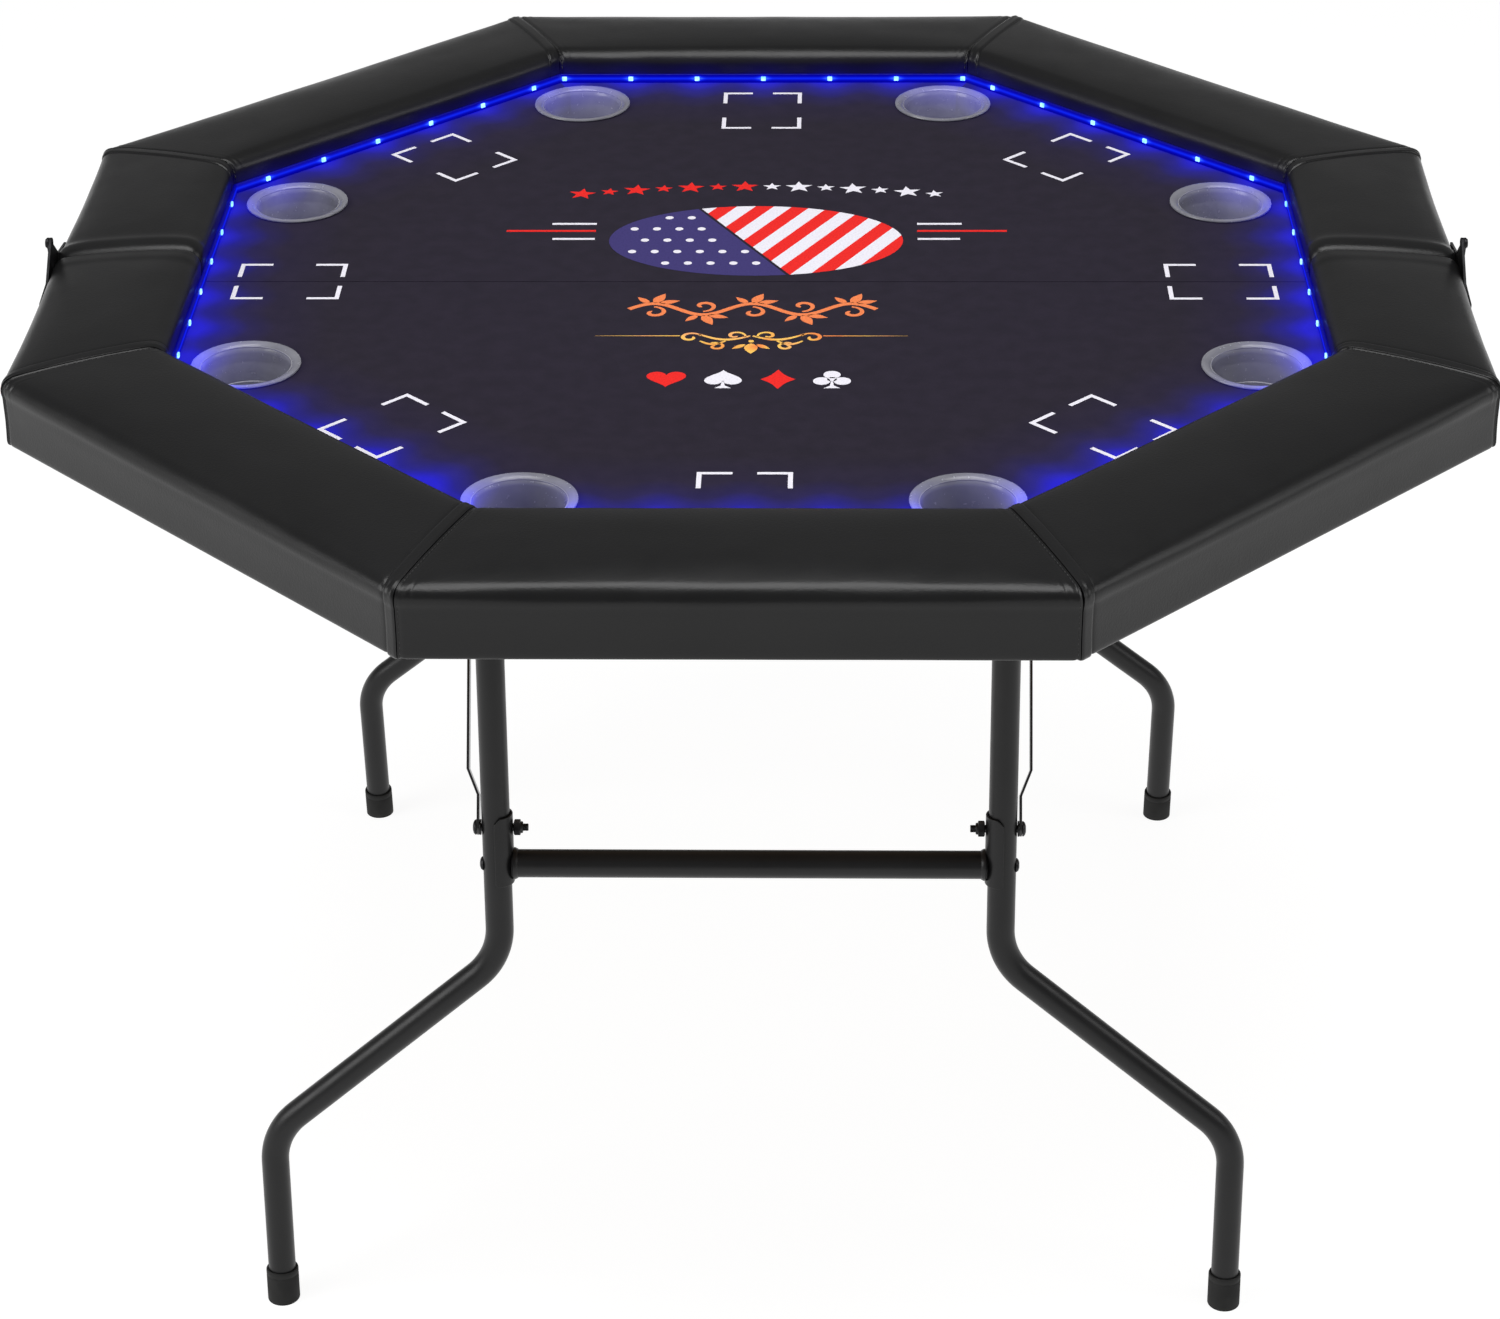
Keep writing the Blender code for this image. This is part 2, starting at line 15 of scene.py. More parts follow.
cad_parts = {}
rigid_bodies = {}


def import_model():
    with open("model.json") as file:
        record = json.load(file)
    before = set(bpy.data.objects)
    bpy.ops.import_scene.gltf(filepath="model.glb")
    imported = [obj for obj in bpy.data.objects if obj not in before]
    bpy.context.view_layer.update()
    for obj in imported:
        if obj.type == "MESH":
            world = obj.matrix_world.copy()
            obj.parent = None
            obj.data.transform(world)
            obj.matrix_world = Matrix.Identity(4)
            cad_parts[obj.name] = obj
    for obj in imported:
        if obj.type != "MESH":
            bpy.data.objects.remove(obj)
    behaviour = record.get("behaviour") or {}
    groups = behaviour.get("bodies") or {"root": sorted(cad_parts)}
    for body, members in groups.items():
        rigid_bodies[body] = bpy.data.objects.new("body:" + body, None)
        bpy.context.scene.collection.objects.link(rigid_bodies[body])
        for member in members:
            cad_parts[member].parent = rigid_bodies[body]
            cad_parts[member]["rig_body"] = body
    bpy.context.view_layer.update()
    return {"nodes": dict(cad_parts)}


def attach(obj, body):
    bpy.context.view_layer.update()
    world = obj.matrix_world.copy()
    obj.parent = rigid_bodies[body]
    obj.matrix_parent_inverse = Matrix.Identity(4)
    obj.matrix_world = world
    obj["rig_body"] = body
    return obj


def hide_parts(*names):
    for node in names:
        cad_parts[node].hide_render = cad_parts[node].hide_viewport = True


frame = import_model()

# The table's sizes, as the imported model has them
OUTER = 0.5631  # middle of the table to the rail's outer face
INNER = 0.4445  # middle of the table to the rail's inner face
RAIL_TOP = 0.767
RAIL_LOW = 0.702
HEM_UNDER = 0.70075
CORE_TOP = 0.7506
WALL = 0.0117  # the padding's thickness on the core's inner and outer faces
CLOTH_TOP = 0.7342
CLOTH_EDGE = 0.4562  # middle of the table to the cloth's edge under the rail
STRIP_FACE = 0.4422
STRIP_MIDDLE = 0.7386
CUP_CIRCLE = 0.42
BOARD_UNDER = 0.7187
PIVOT = Vector((0, -0.30, 0.690))
LEAN = math.atan2(0.075, 0.690)
TUBE = 0.011
UPRIGHT_X = 0.195
FOOT_X = 0.382
BOLT_DROP = 0.2693  # from the leg's pivot to the stay's bolt
CROSSBAR_Z = 0.3915
UPPER_BEND_Z, LOWER_BEND_Z = 0.3105, 0.1525
BEND = 0.056  # the radius of a leg's bends
SADDLE_LOW, SADDLE_HIGH = 0.3765, 0.4345
MITRE = math.tan(math.radians(22.5))
FOLD_HALF = 0.0005  # each half stops this far from the fold
FOLD_WRAP = 0.0004  # the leather and cloth wrapped over a half's edge at the fold
GAP = 0.0003  # left between pieces that meet

HALVES = {"front": Matrix.Identity(4), "rear": Matrix.Rotation(math.pi, 4, "Z")}
MIRROR = Matrix.Diagonal((-1, 1, 1, 1))


def word_of(half, x):
    """Left or right as seen from the front, for a place in the front half's frame."""
    return "right" if (x > 0) != (half == "rear") else "left"


# Working with pieces

def work_on(obj):
    bpy.ops.object.select_all(action="DESELECT")
    obj.select_set(True)
    bpy.context.view_layer.objects.active = obj


def edit(obj):
    work_on(obj)
    bpy.ops.object.mode_set(mode="EDIT")
    bpy.ops.mesh.select_mode(type="VERT")
    bpy.ops.mesh.select_all(action="SELECT")


def end_edit(angle=40):
    """Makes the normals agree, leaves edit mode and shades the piece smooth but for its real edges."""
    bpy.ops.mesh.select_all(action="SELECT")
    bpy.ops.mesh.remove_doubles(threshold=0.00001)
    bpy.ops.mesh.normals_make_consistent(inside=False)
    bpy.ops.object.mode_set(mode="OBJECT")
    bpy.ops.object.shade_smooth_by_angle(angle=math.radians(angle))


def ring(name, radius, place=(0, 0, 0), turn=(0, 0, 0), sides=32):
    """A ring of edges to extrude, left in edit mode."""
    bpy.ops.object.select_all(action="DESELECT")
    bpy.ops.mesh.primitive_circle_add(vertices=sides, radius=radius, location=place, rotation=turn)
    obj = bpy.context.object
    obj.name = name
    bpy.ops.object.transform_apply(location=True, rotation=True, scale=True)
    edit(obj)
    return obj


def block(name, x, y, z):
    """A block round the origin, to be bevelled and moved to its place."""
    bpy.ops.object.select_all(action="DESELECT")
    bpy.ops.mesh.primitive_cube_add(size=1)
    obj = bpy.context.object
    obj.name = name
    obj.data.transform(Matrix.Diagonal((x, y, z, 1)))
    return obj


def pull(x, y, z):
    bpy.ops.mesh.extrude_region_move(TRANSFORM_OT_translate={"value": (x, y, z)})


def close_ends(angle=40):
    bpy.ops.mesh.select_all(action="SELECT")
    bpy.ops.mesh.fill_holes(sides=0)
    end_edit(angle)


def turned(name, profile, sides=32, angle=40):
    """A turned piece about Z: a ring is extruded and resized through (radius, height) points."""
    radius, height = profile[0]
    obj = ring(name, radius, (0, 0, height), sides=sides)
    for (before, low), (after, high) in zip(profile, profile[1:]):
        pull(0, 0, high - low)
        grow = after / before
        bpy.ops.transform.resize(value=(grow, grow, 1), center_override=(0, 0, high))
    close_ends(angle)
    return obj


def bevel(obj, width, segments=2, angle=35):
    work_on(obj)
    bpy.ops.object.shade_smooth_by_angle(angle=math.radians(angle))
    edges = obj.modifiers.new("edges", "BEVEL")
    edges.width = width
    edges.segments = segments
    edges.limit_method = "ANGLE"
    edges.angle_limit = math.radians(angle)
    edges.harden_normals = True
    bpy.ops.object.modifier_apply(modifier="edges")


def join(first, *others):
    work_on(first)
    for other in others:
        other.select_set(True)
    bpy.ops.object.join()
    return first


def moved(obj, matrix):
    obj.data.transform(matrix)
    if matrix.determinant() < 0:
        obj.data.flip_normals()
    return obj


def copy_of(pattern, name, matrix):
    made = pattern.copy()
    made.data = pattern.data.copy()
    made.name = name
    bpy.context.scene.collection.objects.link(made)
    return moved(made, matrix)


def discard(*patterns):
    for pattern in patterns:
        bpy.data.objects.remove(pattern)


def mesh_piece(name, bm):
    bmesh.ops.recalc_face_normals(bm, faces=bm.faces)
    mesh = bpy.data.meshes.new(name)
    bm.to_mesh(mesh)
    bm.free()
    obj = bpy.data.objects.new(name, mesh)
    bpy.context.scene.collection.objects.link(obj)
    return obj


def dress(obj, material):
    obj.data.materials.clear()
    obj.data.materials.append(material)
    return obj


def stand_for(obj, node):
    """obj moves with the node's body and is shown in its place."""
    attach(obj, frame["nodes"][node]["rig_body"])
    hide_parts(node)
    return obj


def refined(node, name, width, material):
    """The node's own shape with clean faces and rounded edges."""
    obj = bpy.data.objects.new(name, frame["nodes"][node].data.copy())
    bpy.context.scene.collection.objects.link(obj)
    edit(obj)
    bpy.ops.mesh.remove_doubles(threshold=0.00001)
    bpy.ops.mesh.dissolve_limited(angle_limit=math.radians(0.5))
    bpy.ops.object.mode_set(mode="OBJECT")
    bevel(obj, width)
    dress(obj, material)
    return stand_for(obj, node)


# Finishes

class Finish:
    """A material whose nodes read the object's own coordinates."""

    def __init__(self, name, colour, roughness, metallic=0.0, specular=0.5):
        self.material = bpy.data.materials.new(name)
        self.material.use_nodes = True
        self.shader = self.material.node_tree.nodes["Principled BSDF"]
        self.place = self.node("ShaderNodeTexCoord").outputs["Object"]
        self.shader.inputs["Base Color"].default_value = (*colour, 1)
        self.shader.inputs["Roughness"].default_value = roughness
        self.shader.inputs["Metallic"].default_value = metallic
        self.shader.inputs["Specular IOR Level"].default_value = specular

    def node(self, kind, **settings):
        made = self.material.node_tree.nodes.new(kind)
        for name, value in settings.items():
            setattr(made, name, value)
        return made

    def join(self, source, target):
        self.material.node_tree.links.new(source, target)

    def noise(self, scale, detail=3.0, stretch=(1, 1, 1)):
        mapping = self.node("ShaderNodeMapping")
        mapping.inputs["Scale"].default_value = stretch
        self.join(self.place, mapping.inputs["Vector"])
        made = self.node("ShaderNodeTexNoise")
        made.inputs["Scale"].default_value = scale
        made.inputs["Detail"].default_value = detail
        self.join(mapping.outputs["Vector"], made.inputs["Vector"])
        return made.outputs["Fac"]

    def cells(self, scale):
        made = self.node("ShaderNodeTexVoronoi", feature="SMOOTH_F1")
        made.inputs["Scale"].default_value = scale
        self.join(self.place, made.inputs["Vector"])
        return made.outputs["Distance"]

    def wave(self, axis, scale):
        made = self.node("ShaderNodeTexWave", bands_direction=axis)
        made.inputs["Scale"].default_value = scale
        made.inputs["Distortion"].default_value = 0.4
        self.join(self.place, made.inputs["Vector"])
        return made.outputs["Fac"]

    def math(self, operation, first, second=None):
        made = self.node("ShaderNodeMath", operation=operation)
        for socket, value in zip(made.inputs, (first, second)):
            if isinstance(value, (int, float)):
                socket.default_value = value
            elif value is not None:
                self.join(value, socket)
        return made.outputs["Value"]

    def ramp(self, fac, *stops):
        made = self.node("ShaderNodeValToRGB")
        elements = made.color_ramp.elements
        while len(elements) < len(stops):
            elements.new(0.5)
        for element, (position, colour) in zip(elements, stops):
            element.position = position
            element.color = (*colour, 1)
        self.join(fac, made.inputs["Fac"])
        return made.outputs["Color"]

    def colour(self, fac, *stops):
        self.join(self.ramp(fac, *stops), self.shader.inputs["Base Color"])
        return self

    def roughness(self, fac, low, high):
        made = self.node("ShaderNodeMapRange")
        made.inputs["To Min"].default_value = low
        made.inputs["To Max"].default_value = high
        self.join(fac, made.inputs["Value"])
        self.join(made.outputs["Result"], self.shader.inputs["Roughness"])
        return self

    def relief(self, height, distance, strength=1.0):
        made = self.node("ShaderNodeBump")
        made.inputs["Strength"].default_value = strength
        made.inputs["Distance"].default_value = distance
        self.join(height, made.inputs["Height"])
        self.join(made.outputs["Normal"], self.shader.inputs["Normal"])
        return self

    def plus(self, first, second):
        return self.math("ADD", first, second)

    def minus(self, first, second):
        return self.math("SUBTRACT", first, second)

    def times(self, first, second):
        return self.math("MULTIPLY", first, second)

    def limited(self, value):
        return self.math("MINIMUM", self.math("MAXIMUM", value, 0.0), 1.0)

    def swell(self, lobe, depth):
        """1 where the lobe is at its highest, and weaker by the depth where it is 0."""
        return self.plus(self.times(lobe, depth), 1.0 - depth)

    def x_y_z(self):
        parts = self.node("ShaderNodeSeparateXYZ")
        self.join(self.place, parts.inputs["Vector"])
        return parts.outputs["X"], parts.outputs["Y"], parts.outputs["Z"]

    def rail_place(self, x, y):
        """How far out a place is, and 1 in front of a light chip down to -1 between two of them."""
        far_x, far_y = self.math("ABSOLUTE", x), self.math("ABSOLUTE", y)
        square = self.math("MAXIMUM", far_x, far_y)
        diagonal = self.times(self.plus(far_x, far_y), math.sqrt(0.5))
        on_diagonal = self.math("GREATER_THAN", diagonal, square)
        on_end = self.math("GREATER_THAN", far_y, far_x)
        across = self.times(self.minus(far_x, far_y), math.sqrt(0.5))
        end_or_side = self.plus(self.times(on_end, x), self.times(self.minus(1.0, on_end), y))
        straight = self.minus(1.0, on_diagonal)
        along = self.plus(self.times(on_diagonal, across), self.times(straight, end_or_side))
        lobe = self.math("COSINE", self.times(along, 2 * math.pi / CHIP_PITCH))
        sign = self.minus(self.times(self.times(straight, on_end), 2.0), 1.0)
        return self.math("MAXIMUM", square, diagonal), self.times(lobe, sign)

    def shine(self, light, *stops):
        self.join(self.ramp(light, *stops), self.shader.inputs["Emission Color"])
        self.shader.inputs["Emission Strength"].default_value = 1.0
        return self

    def painted_strip_glow(self, reach, lowest, *stops):
        """Painted light: emission that falls off from the strip inwards and down to a lowest height, in place
        of the strip's own light.
        """
        x, y, height = self.x_y_z()
        out, lobe = self.rail_place(x, y)
        to_front = self.math("MAXIMUM", self.times(y, -1.0 / INNER), 0.0)
        reached = self.plus(out, self.times(to_front, FRONT_GLOW))
        near = self.limited(self.math("DIVIDE", self.minus(reached, INNER - reach), reach))
        above = self.limited(self.math("DIVIDE", self.minus(height, lowest), CLOTH_TOP - lowest))
        return self.shine(self.times(self.times(near, self.swell(lobe, LOBE_DEPTH)), above), *stops)

    def wall_glow(self, *stops):
        """Painted light on the rail's inner wall: emission that falls off upwards from the strip."""
        x, y, height = self.x_y_z()
        out, lobe = self.rail_place(x, y)
        on_wall = self.limited(self.math("DIVIDE", self.minus(INNER + WALL_DEPTH, out), WALL_DEPTH))
        below_top = self.minus(RAIL_TOP - WALL_DARK, height)
        low = self.limited(self.math("DIVIDE", below_top, WALL_LIT))
        return self.shine(self.times(self.times(on_wall, low), self.swell(lobe, LOBE_DEPTH)), *stops)

    def strip_glow(self, *stops):
        """A bright line along the strip that swells at each chip."""
        x, y, height = self.x_y_z()
        lobe = self.rail_place(x, y)[1]
        away = self.math("ABSOLUTE", self.minus(height, STRIP_MIDDLE))
        line = self.limited(self.minus(1.0, self.math("DIVIDE", away, STRIP_GLOW)))
        halo = self.math("POWER", self.math("MAXIMUM", lobe, 0.0), 6.0)
        return self.shine(self.times(line, self.swell(halo, HALO_DEPTH)), *stops)


CHIP_PITCH = 0.060
# LOBE_DEPTH, FRONT_GLOW, WALL_DEPTH, WALL_DARK and WALL_LIT shape the light painted as emission on the cloth,
# the cups and the rail's inner wall.
LOBE_DEPTH = 0.08  # how much weaker the light is between two chips
HALO_DEPTH = 0.42  # the same on the strip itself, away from a chip
FRONT_GLOW = 0.036  # how much further the light reaches along the front
WALL_DEPTH = 0.006  # how far into the rail the light on its inner wall fades out
WALL_DARK, WALL_LIT = 0.002, 0.026  # the wall's dark stretch at the top, and the lit one below it
STRIP_GLOW = 0.0046  # half the height of the strip's bright line


def leather():
    made = Finish("black_rail_leather", (0.006, 0.006, 0.0062), 0.34, specular=0.32)
    pebble = made.cells(620)
    crease = made.noise(1500, 4.0)
    drift = made.noise(14, 3.0)
    made.colour(drift, (0.30, (0.0045, 0.0045, 0.0047)), (0.70, (0.0060, 0.0060, 0.0063)))
    made.roughness(made.noise(45, 5.0), 0.27, 0.38)
    # Painted light: the strip's blue light on the rail's inner wall, as emission.
    made.wall_glow((0.0, (0, 0, 0)), (0.35, (0.0005, 0.0, 0.006)), (0.70, (0.001, 0.0, 0.045)),
                   (1.0, (0.001, 0.0, 0.16)))
    height = made.plus(made.times(pebble, 0.7), made.times(crease, 0.5))
    return made.relief(height, 0.00022, 0.45).material


def cloth():
    made = Finish("dark_playing_cloth", (0.014, 0.011, 0.020), 0.95, specular=0.10)
    made.shader.inputs["Sheen Weight"].default_value = 0.03
    made.shader.inputs["Sheen Roughness"].default_value = 0.6
    weave = made.plus(made.wave("X", 330), made.wave("Y", 330))
    fuzz = made.noise(900, 5.0)
    made.colour(made.noise(60, 6.0), (0.35, (0.0125, 0.0095, 0.0190)), (0.65, (0.0160, 0.0120, 0.0235)))
    # Painted light: the strip's blue light on the cloth near the rail, as emission that fades inwards.
    made.painted_strip_glow(0.105, CLOTH_TOP - 0.004, (0.0, (0, 0, 0)), (0.40, (0.001, 0.0, 0.012)),
              (0.60, (0.001, 0.0, 0.055)), (0.80, (0.0, 0.0, 0.23)), (0.95, (0.0, 0.0, 0.60)))
    height = made.plus(made.times(weave, 0.35), fuzz)
    return made.relief(height, 0.00018, 0.5).material


def ink(name, light, dark):
    made = Finish(name, light, 0.8, specular=0.2)
    made.colour(made.noise(700, 5.0), (0.30, dark), (0.55, light))
    return made.relief(made.noise(900, 5.0), 0.00012, 0.5).material


def gold_ink():
    made = Finish("gold_ink", (0.75, 0.38, 0.08), 0.7, specular=0.2)
    made.colour(made.noise(26, 2.0), (0.35, (0.80, 0.24, 0.06)), (0.50, (0.85, 0.52, 0.10)),
                (0.65, (0.86, 0.36, 0.14)))
    return made.relief(made.noise(900, 5.0), 0.00012, 0.5).material


def cup_plastic():
    made = Finish("clear_cup_plastic", (0.26, 0.26, 0.30), 0.30, specular=0.35)
    made.shader.inputs["Transmission Weight"].default_value = 0.30
    made.shader.inputs["Coat Weight"].default_value = 0.1
    made.shader.inputs["Coat Roughness"].default_value = 0.12
    made.colour(made.noise(35, 3.0), (0.35, (0.23, 0.23, 0.27)), (0.65, (0.29, 0.29, 0.33)))
    made.roughness(made.noise(260, 4.0), 0.18, 0.32)
    # Painted light: the strip's blue light on the cups near the rail, as emission that fades inwards and
    # downwards.
    made.painted_strip_glow(0.062, CLOTH_TOP - 0.040, (0.0, (0.0, 0.0, 0.0)), (0.30, (0.010, 0.009, 0.060)),
              (0.62, (0.018, 0.015, 0.26)), (0.92, (0.012, 0.012, 0.72)))
    return made.relief(made.noise(400, 3.0), 0.00005, 0.3).material


def painted_tube():
    made = Finish("black_painted_tube", (0.010, 0.010, 0.0105), 0.36, specular=0.30)
    made.colour(made.noise(9, 4.0), (0.35, (0.0080, 0.0080, 0.0084)), (0.65, (0.0115, 0.0115, 0.0120)))
    made.roughness(made.noise(70, 4.0), 0.28, 0.44)
    return made.relief(made.noise(520, 3.0), 0.00006, 0.5).material


def stay_paint():
    made = Finish("black_stay_paint", (0.012, 0.012, 0.0125), 0.22, specular=0.55)
    made.colour(made.noise(60, 4.0), (0.35, (0.0095, 0.0095, 0.0100)), (0.65, (0.0145, 0.0145, 0.0150)))
    made.roughness(made.noise(220, 4.0), 0.16, 0.28)
    return made.relief(made.noise(700, 3.0), 0.00003, 0.4).material


def steel(name, dark, light, low, high):
    made = Finish(name, dark, low, metallic=1.0)
    made.colour(made.noise(180, 5.0, (1, 0.08, 1)), (0.35, dark), (0.65, light))
    made.roughness(made.noise(320, 4.0), low, high)
    return made.relief(made.noise(900, 2.0, (1, 0.05, 1)), 0.00004, 0.4).material


def rubber():
    made = Finish("foot_rubber", (0.014, 0.014, 0.014), 0.75, specular=0.3)
    made.colour(made.noise(40, 5.0), (0.35, (0.011, 0.011, 0.011)), (0.65, (0.019, 0.019, 0.0185)))
    made.roughness(made.noise(120, 4.0), 0.62, 0.86)
    return made.relief(made.noise(1100, 4.0), 0.0001, 0.5).material


def fibreboard(name, dark, light):
    made = Finish(name, dark, 0.8, specular=0.2)
    flecks = made.noise(420, 6.0, (1, 0.5, 1))
    made.colour(flecks, (0.36, dark), (0.62, light))
    made.roughness(made.noise(60, 4.0), 0.68, 0.88)
    return made.relief(flecks, 0.0001, 0.5).material


def moulded_plastic():
    made = Finish("moulded_plastic", (0.015, 0.015, 0.016), 0.5, specular=0.4)
    made.colour(made.noise(50, 4.0), (0.35, (0.012, 0.012, 0.013)), (0.65, (0.020, 0.020, 0.021)))
    made.roughness(made.noise(150, 3.0), 0.42, 0.60)
    return made.relief(made.noise(1300, 2.0), 0.00005, 0.6).material


def thread():
    made = Finish("seam_thread", (0.006, 0.006, 0.006), 0.6, specular=0.4)
    made.colour(made.noise(900, 2.0), (0.4, (0.020, 0.020, 0.020)), (0.6, (0.045, 0.045, 0.045)))
    return made.relief(made.wave("DIAGONAL", 500), 0.0001, 0.6).material


def strip_light():
    made = Finish("light_strip_glow", (0.0, 0.0, 0.08), 0.4, specular=0.2)
    made.relief(made.noise(300, 2.0), 0.00005, 0.3)
    return made.strip_glow((0.0, (0.0, 0.0, 0.12)), (0.35, (0.0, 0.0, 0.42)), (0.60, (0.004, 0.02, 0.90)),
                           (1.0, (0.06, 0.22, 1.0))).material


def chip_light():
    made = Finish("light_chip_glow", (0.0, 0.0, 0.08), 0.4, specular=0.2)
    made.shine(made.noise(300, 2.0), (0.35, (0.12, 0.35, 1.0)), (0.65, (0.28, 0.55, 1.0)))
    made.shader.inputs["Emission Strength"].default_value = 2.6
    return made.material


LEATHER = leather()
CLOTH = cloth()
CUP = cup_plastic()
TUBE_PAINT = painted_tube()
STAY_PAINT = stay_paint()
BOLT_STEEL = steel("black_bolt_steel", (0.022, 0.022, 0.023), (0.050, 0.050, 0.052), 0.30, 0.48)
HINGE_STEEL = steel("black_hinge_steel", (0.020, 0.020, 0.021), (0.040, 0.040, 0.042), 0.34, 0.50)
STAPLE_WIRE = steel("staple_wire", (0.35, 0.35, 0.36), (0.55, 0.55, 0.56), 0.28, 0.42)
RUBBER = rubber()
BOARD = fibreboard("underside_board", (0.19, 0.125, 0.072), (0.30, 0.21, 0.13))
CORE = fibreboard("rail_core_board", (0.24, 0.165, 0.10), (0.36, 0.26, 0.165))
PLASTIC = moulded_plastic()
THREAD = thread()
STRIP_LIGHT = strip_light()
CHIP_LIGHT = chip_light()
INKS = {
    "white": ink("white_ink", (0.78, 0.76, 0.83), (0.66, 0.64, 0.72)),
    "red": ink("red_ink", (0.78, 0.018, 0.014), (0.62, 0.012, 0.012)),
    "blue": ink("blue_ink", (0.045, 0.035, 0.155), (0.032, 0.025, 0.115)),
    "orange": ink("orange_ink", (0.82, 0.22, 0.075), (0.66, 0.16, 0.055)),
    "gold": gold_ink(),
}


# Rail covers: leather over foam, one closed piece for each side of each half

FOAM_RISE = 0.0034  # how far the foam's pressure lifts the cover's middle
OUTER_FALL = 0.0060  # how much lower the rail is at its outer roll
TRIM = 0.045  # the length at each end that keeps its own distances
HEM = 0.036  # leather turned under the rail
SLACK = 0.0004  # how far the leather wanders from its even shape
END_SWELL = 0.0011  # how much fuller the outer roll is near a cover's ends
STITCH_LINE = 0.0016  # from the mitre to the line of stitches
# Distances from a cover's end to its sections, close together where the seams are
MITRE_STEPS = (0, 0.0006, 0.0016, 0.0026, 0.0042, 0.0060, 0.0080, 0.0096, 0.0103, 0.0110, 0.0120,
               0.0140, 0.018, 0.024, 0.032)
FOLD_STEPS = (0, 0.0006, 0.0015, 0.003, 0.0048, 0.007, 0.0095, 0.012, 0.0145, 0.017, 0.020, 0.025,
              0.032)


def arc(r, z, radius, start, end, steps):
    turns = [math.radians(start + (end - start) * i / steps) for i in range(steps + 1)]
    return [(r + radius * math.cos(a), z + radius * math.sin(a)) for a in turns]


def cover_section():
    """Round the cover: (distance from the table's middle, height, the foam's share in its move)."""
    roll, inner = 0.0125, 0.0145
    high = RAIL_TOP - FOAM_RISE
    hem = [(OUTER - HEM, 0.7010), (OUTER - 0.020, 0.7007), (OUTER - 0.007, 0.7007)]
    corner = [(OUTER - 0.0028, 0.7012), (OUTER - 0.0011, 0.7030)]
    face = [(OUTER - 0.0012 - 0.0005 * math.sin(i * math.pi / 6), 0.7065 + 0.0058 * i) for i in range(6)]
    outer_roll = arc(OUTER - roll - 0.0010, high - OUTER_FALL - roll, roll, -18, 82, 10)
    inner_roll = arc(INNER + inner - 0.0008, high - inner, inner, 90, 180, 8)
    start, end = outer_roll[-1][0], inner_roll[0][0]
    top = [(start + (end - start) * i / 13, high - OUTER_FALL * (1 - i / 13) ** 2) for i in range(1, 13)]
    wall = [(INNER + 0.0002, 0.7440), (INNER + 0.0002, 0.7385), (INNER + 0.0006, 0.7354)]
    inside = [(INNER + 0.0030, 0.7347), (INNER + WALL - GAP, 0.7347), (INNER + WALL - GAP, CORE_TOP),
              (OUTER - WALL, CORE_TOP), (OUTER - WALL, 0.7024), (OUTER - 0.022, 0.7021),
              (OUTER - HEM, RAIL_LOW)]
    shares = [(hem, 0), (corner, 0), (face, 0.12), (outer_roll, 1), (top, 1), (inner_roll, 0.9),
              (wall, 0), (inside, 0)]
    return [(r, z, share) for points, share in shares for r, z in points]


SECTION = cover_section()
SHOWN = range(3, 45)  # section points that can be seen from above or outside
STITCHED = range(4, 43)  # section points that a row of stitches runs over
OUTER_ROLL, INNER_ROLL = 16, 38  # section points in the middle of the two rolls


def section_normals():
    """The outward direction in (r, z) at each section point."""
    found = []
    count = len(SECTION)
    for i in range(count):
        before, after = SECTION[i - 1], SECTION[(i + 1) % count]
        run, rise = after[0] - before[0], after[1] - before[1]
        length = math.hypot(run, rise)
        found.append((rise / length, -run / length))
    return found


NORMALS = section_normals()


def end_of(kind, sign, r):
    """Where a cover ends along its side; sign is -1 for the start and 1 for the end."""
    reach = r * MITRE - GAP if kind != "fold" else -FOLD_HALF
    return sign * reach


def along_side(kinds, r, s):
    """Place along the side at station s, from 0 to 3; the first and last thirds are the two ends."""
    low, high = end_of(kinds[0], -1, r), end_of(kinds[1], 1, r)
    if s <= 1:
        return low + s * TRIM
    if s >= 2:
        return high - (3 - s) * TRIM
    return low + TRIM + (high - low - 2 * TRIM) * (s - 1)


def fine_stations(kinds):
    steps = [FOLD_STEPS if kind == "fold" else MITRE_STEPS for kind in kinds]
    middle = 12 if "fold" in kinds else 24
    first = [d / TRIM for d in steps[0]]
    last = [3 - d / TRIM for d in reversed(steps[1])]
    return first + [1 + i / middle for i in range(middle + 1)] + last


def loft(stations, placed_at):
    """An open-ended tube of faces through every section point at every station."""
    bm = bmesh.new()
    rows = [[bm.verts.new(placed_at(i, s)) for i in range(len(SECTION))] for s in stations]
    for first, second in zip(rows, rows[1:]):
        for i in range(len(SECTION)):
            j = (i + 1) % len(SECTION)
            bm.faces.new((first[i], first[j], second[j], second[i]))
    return bm


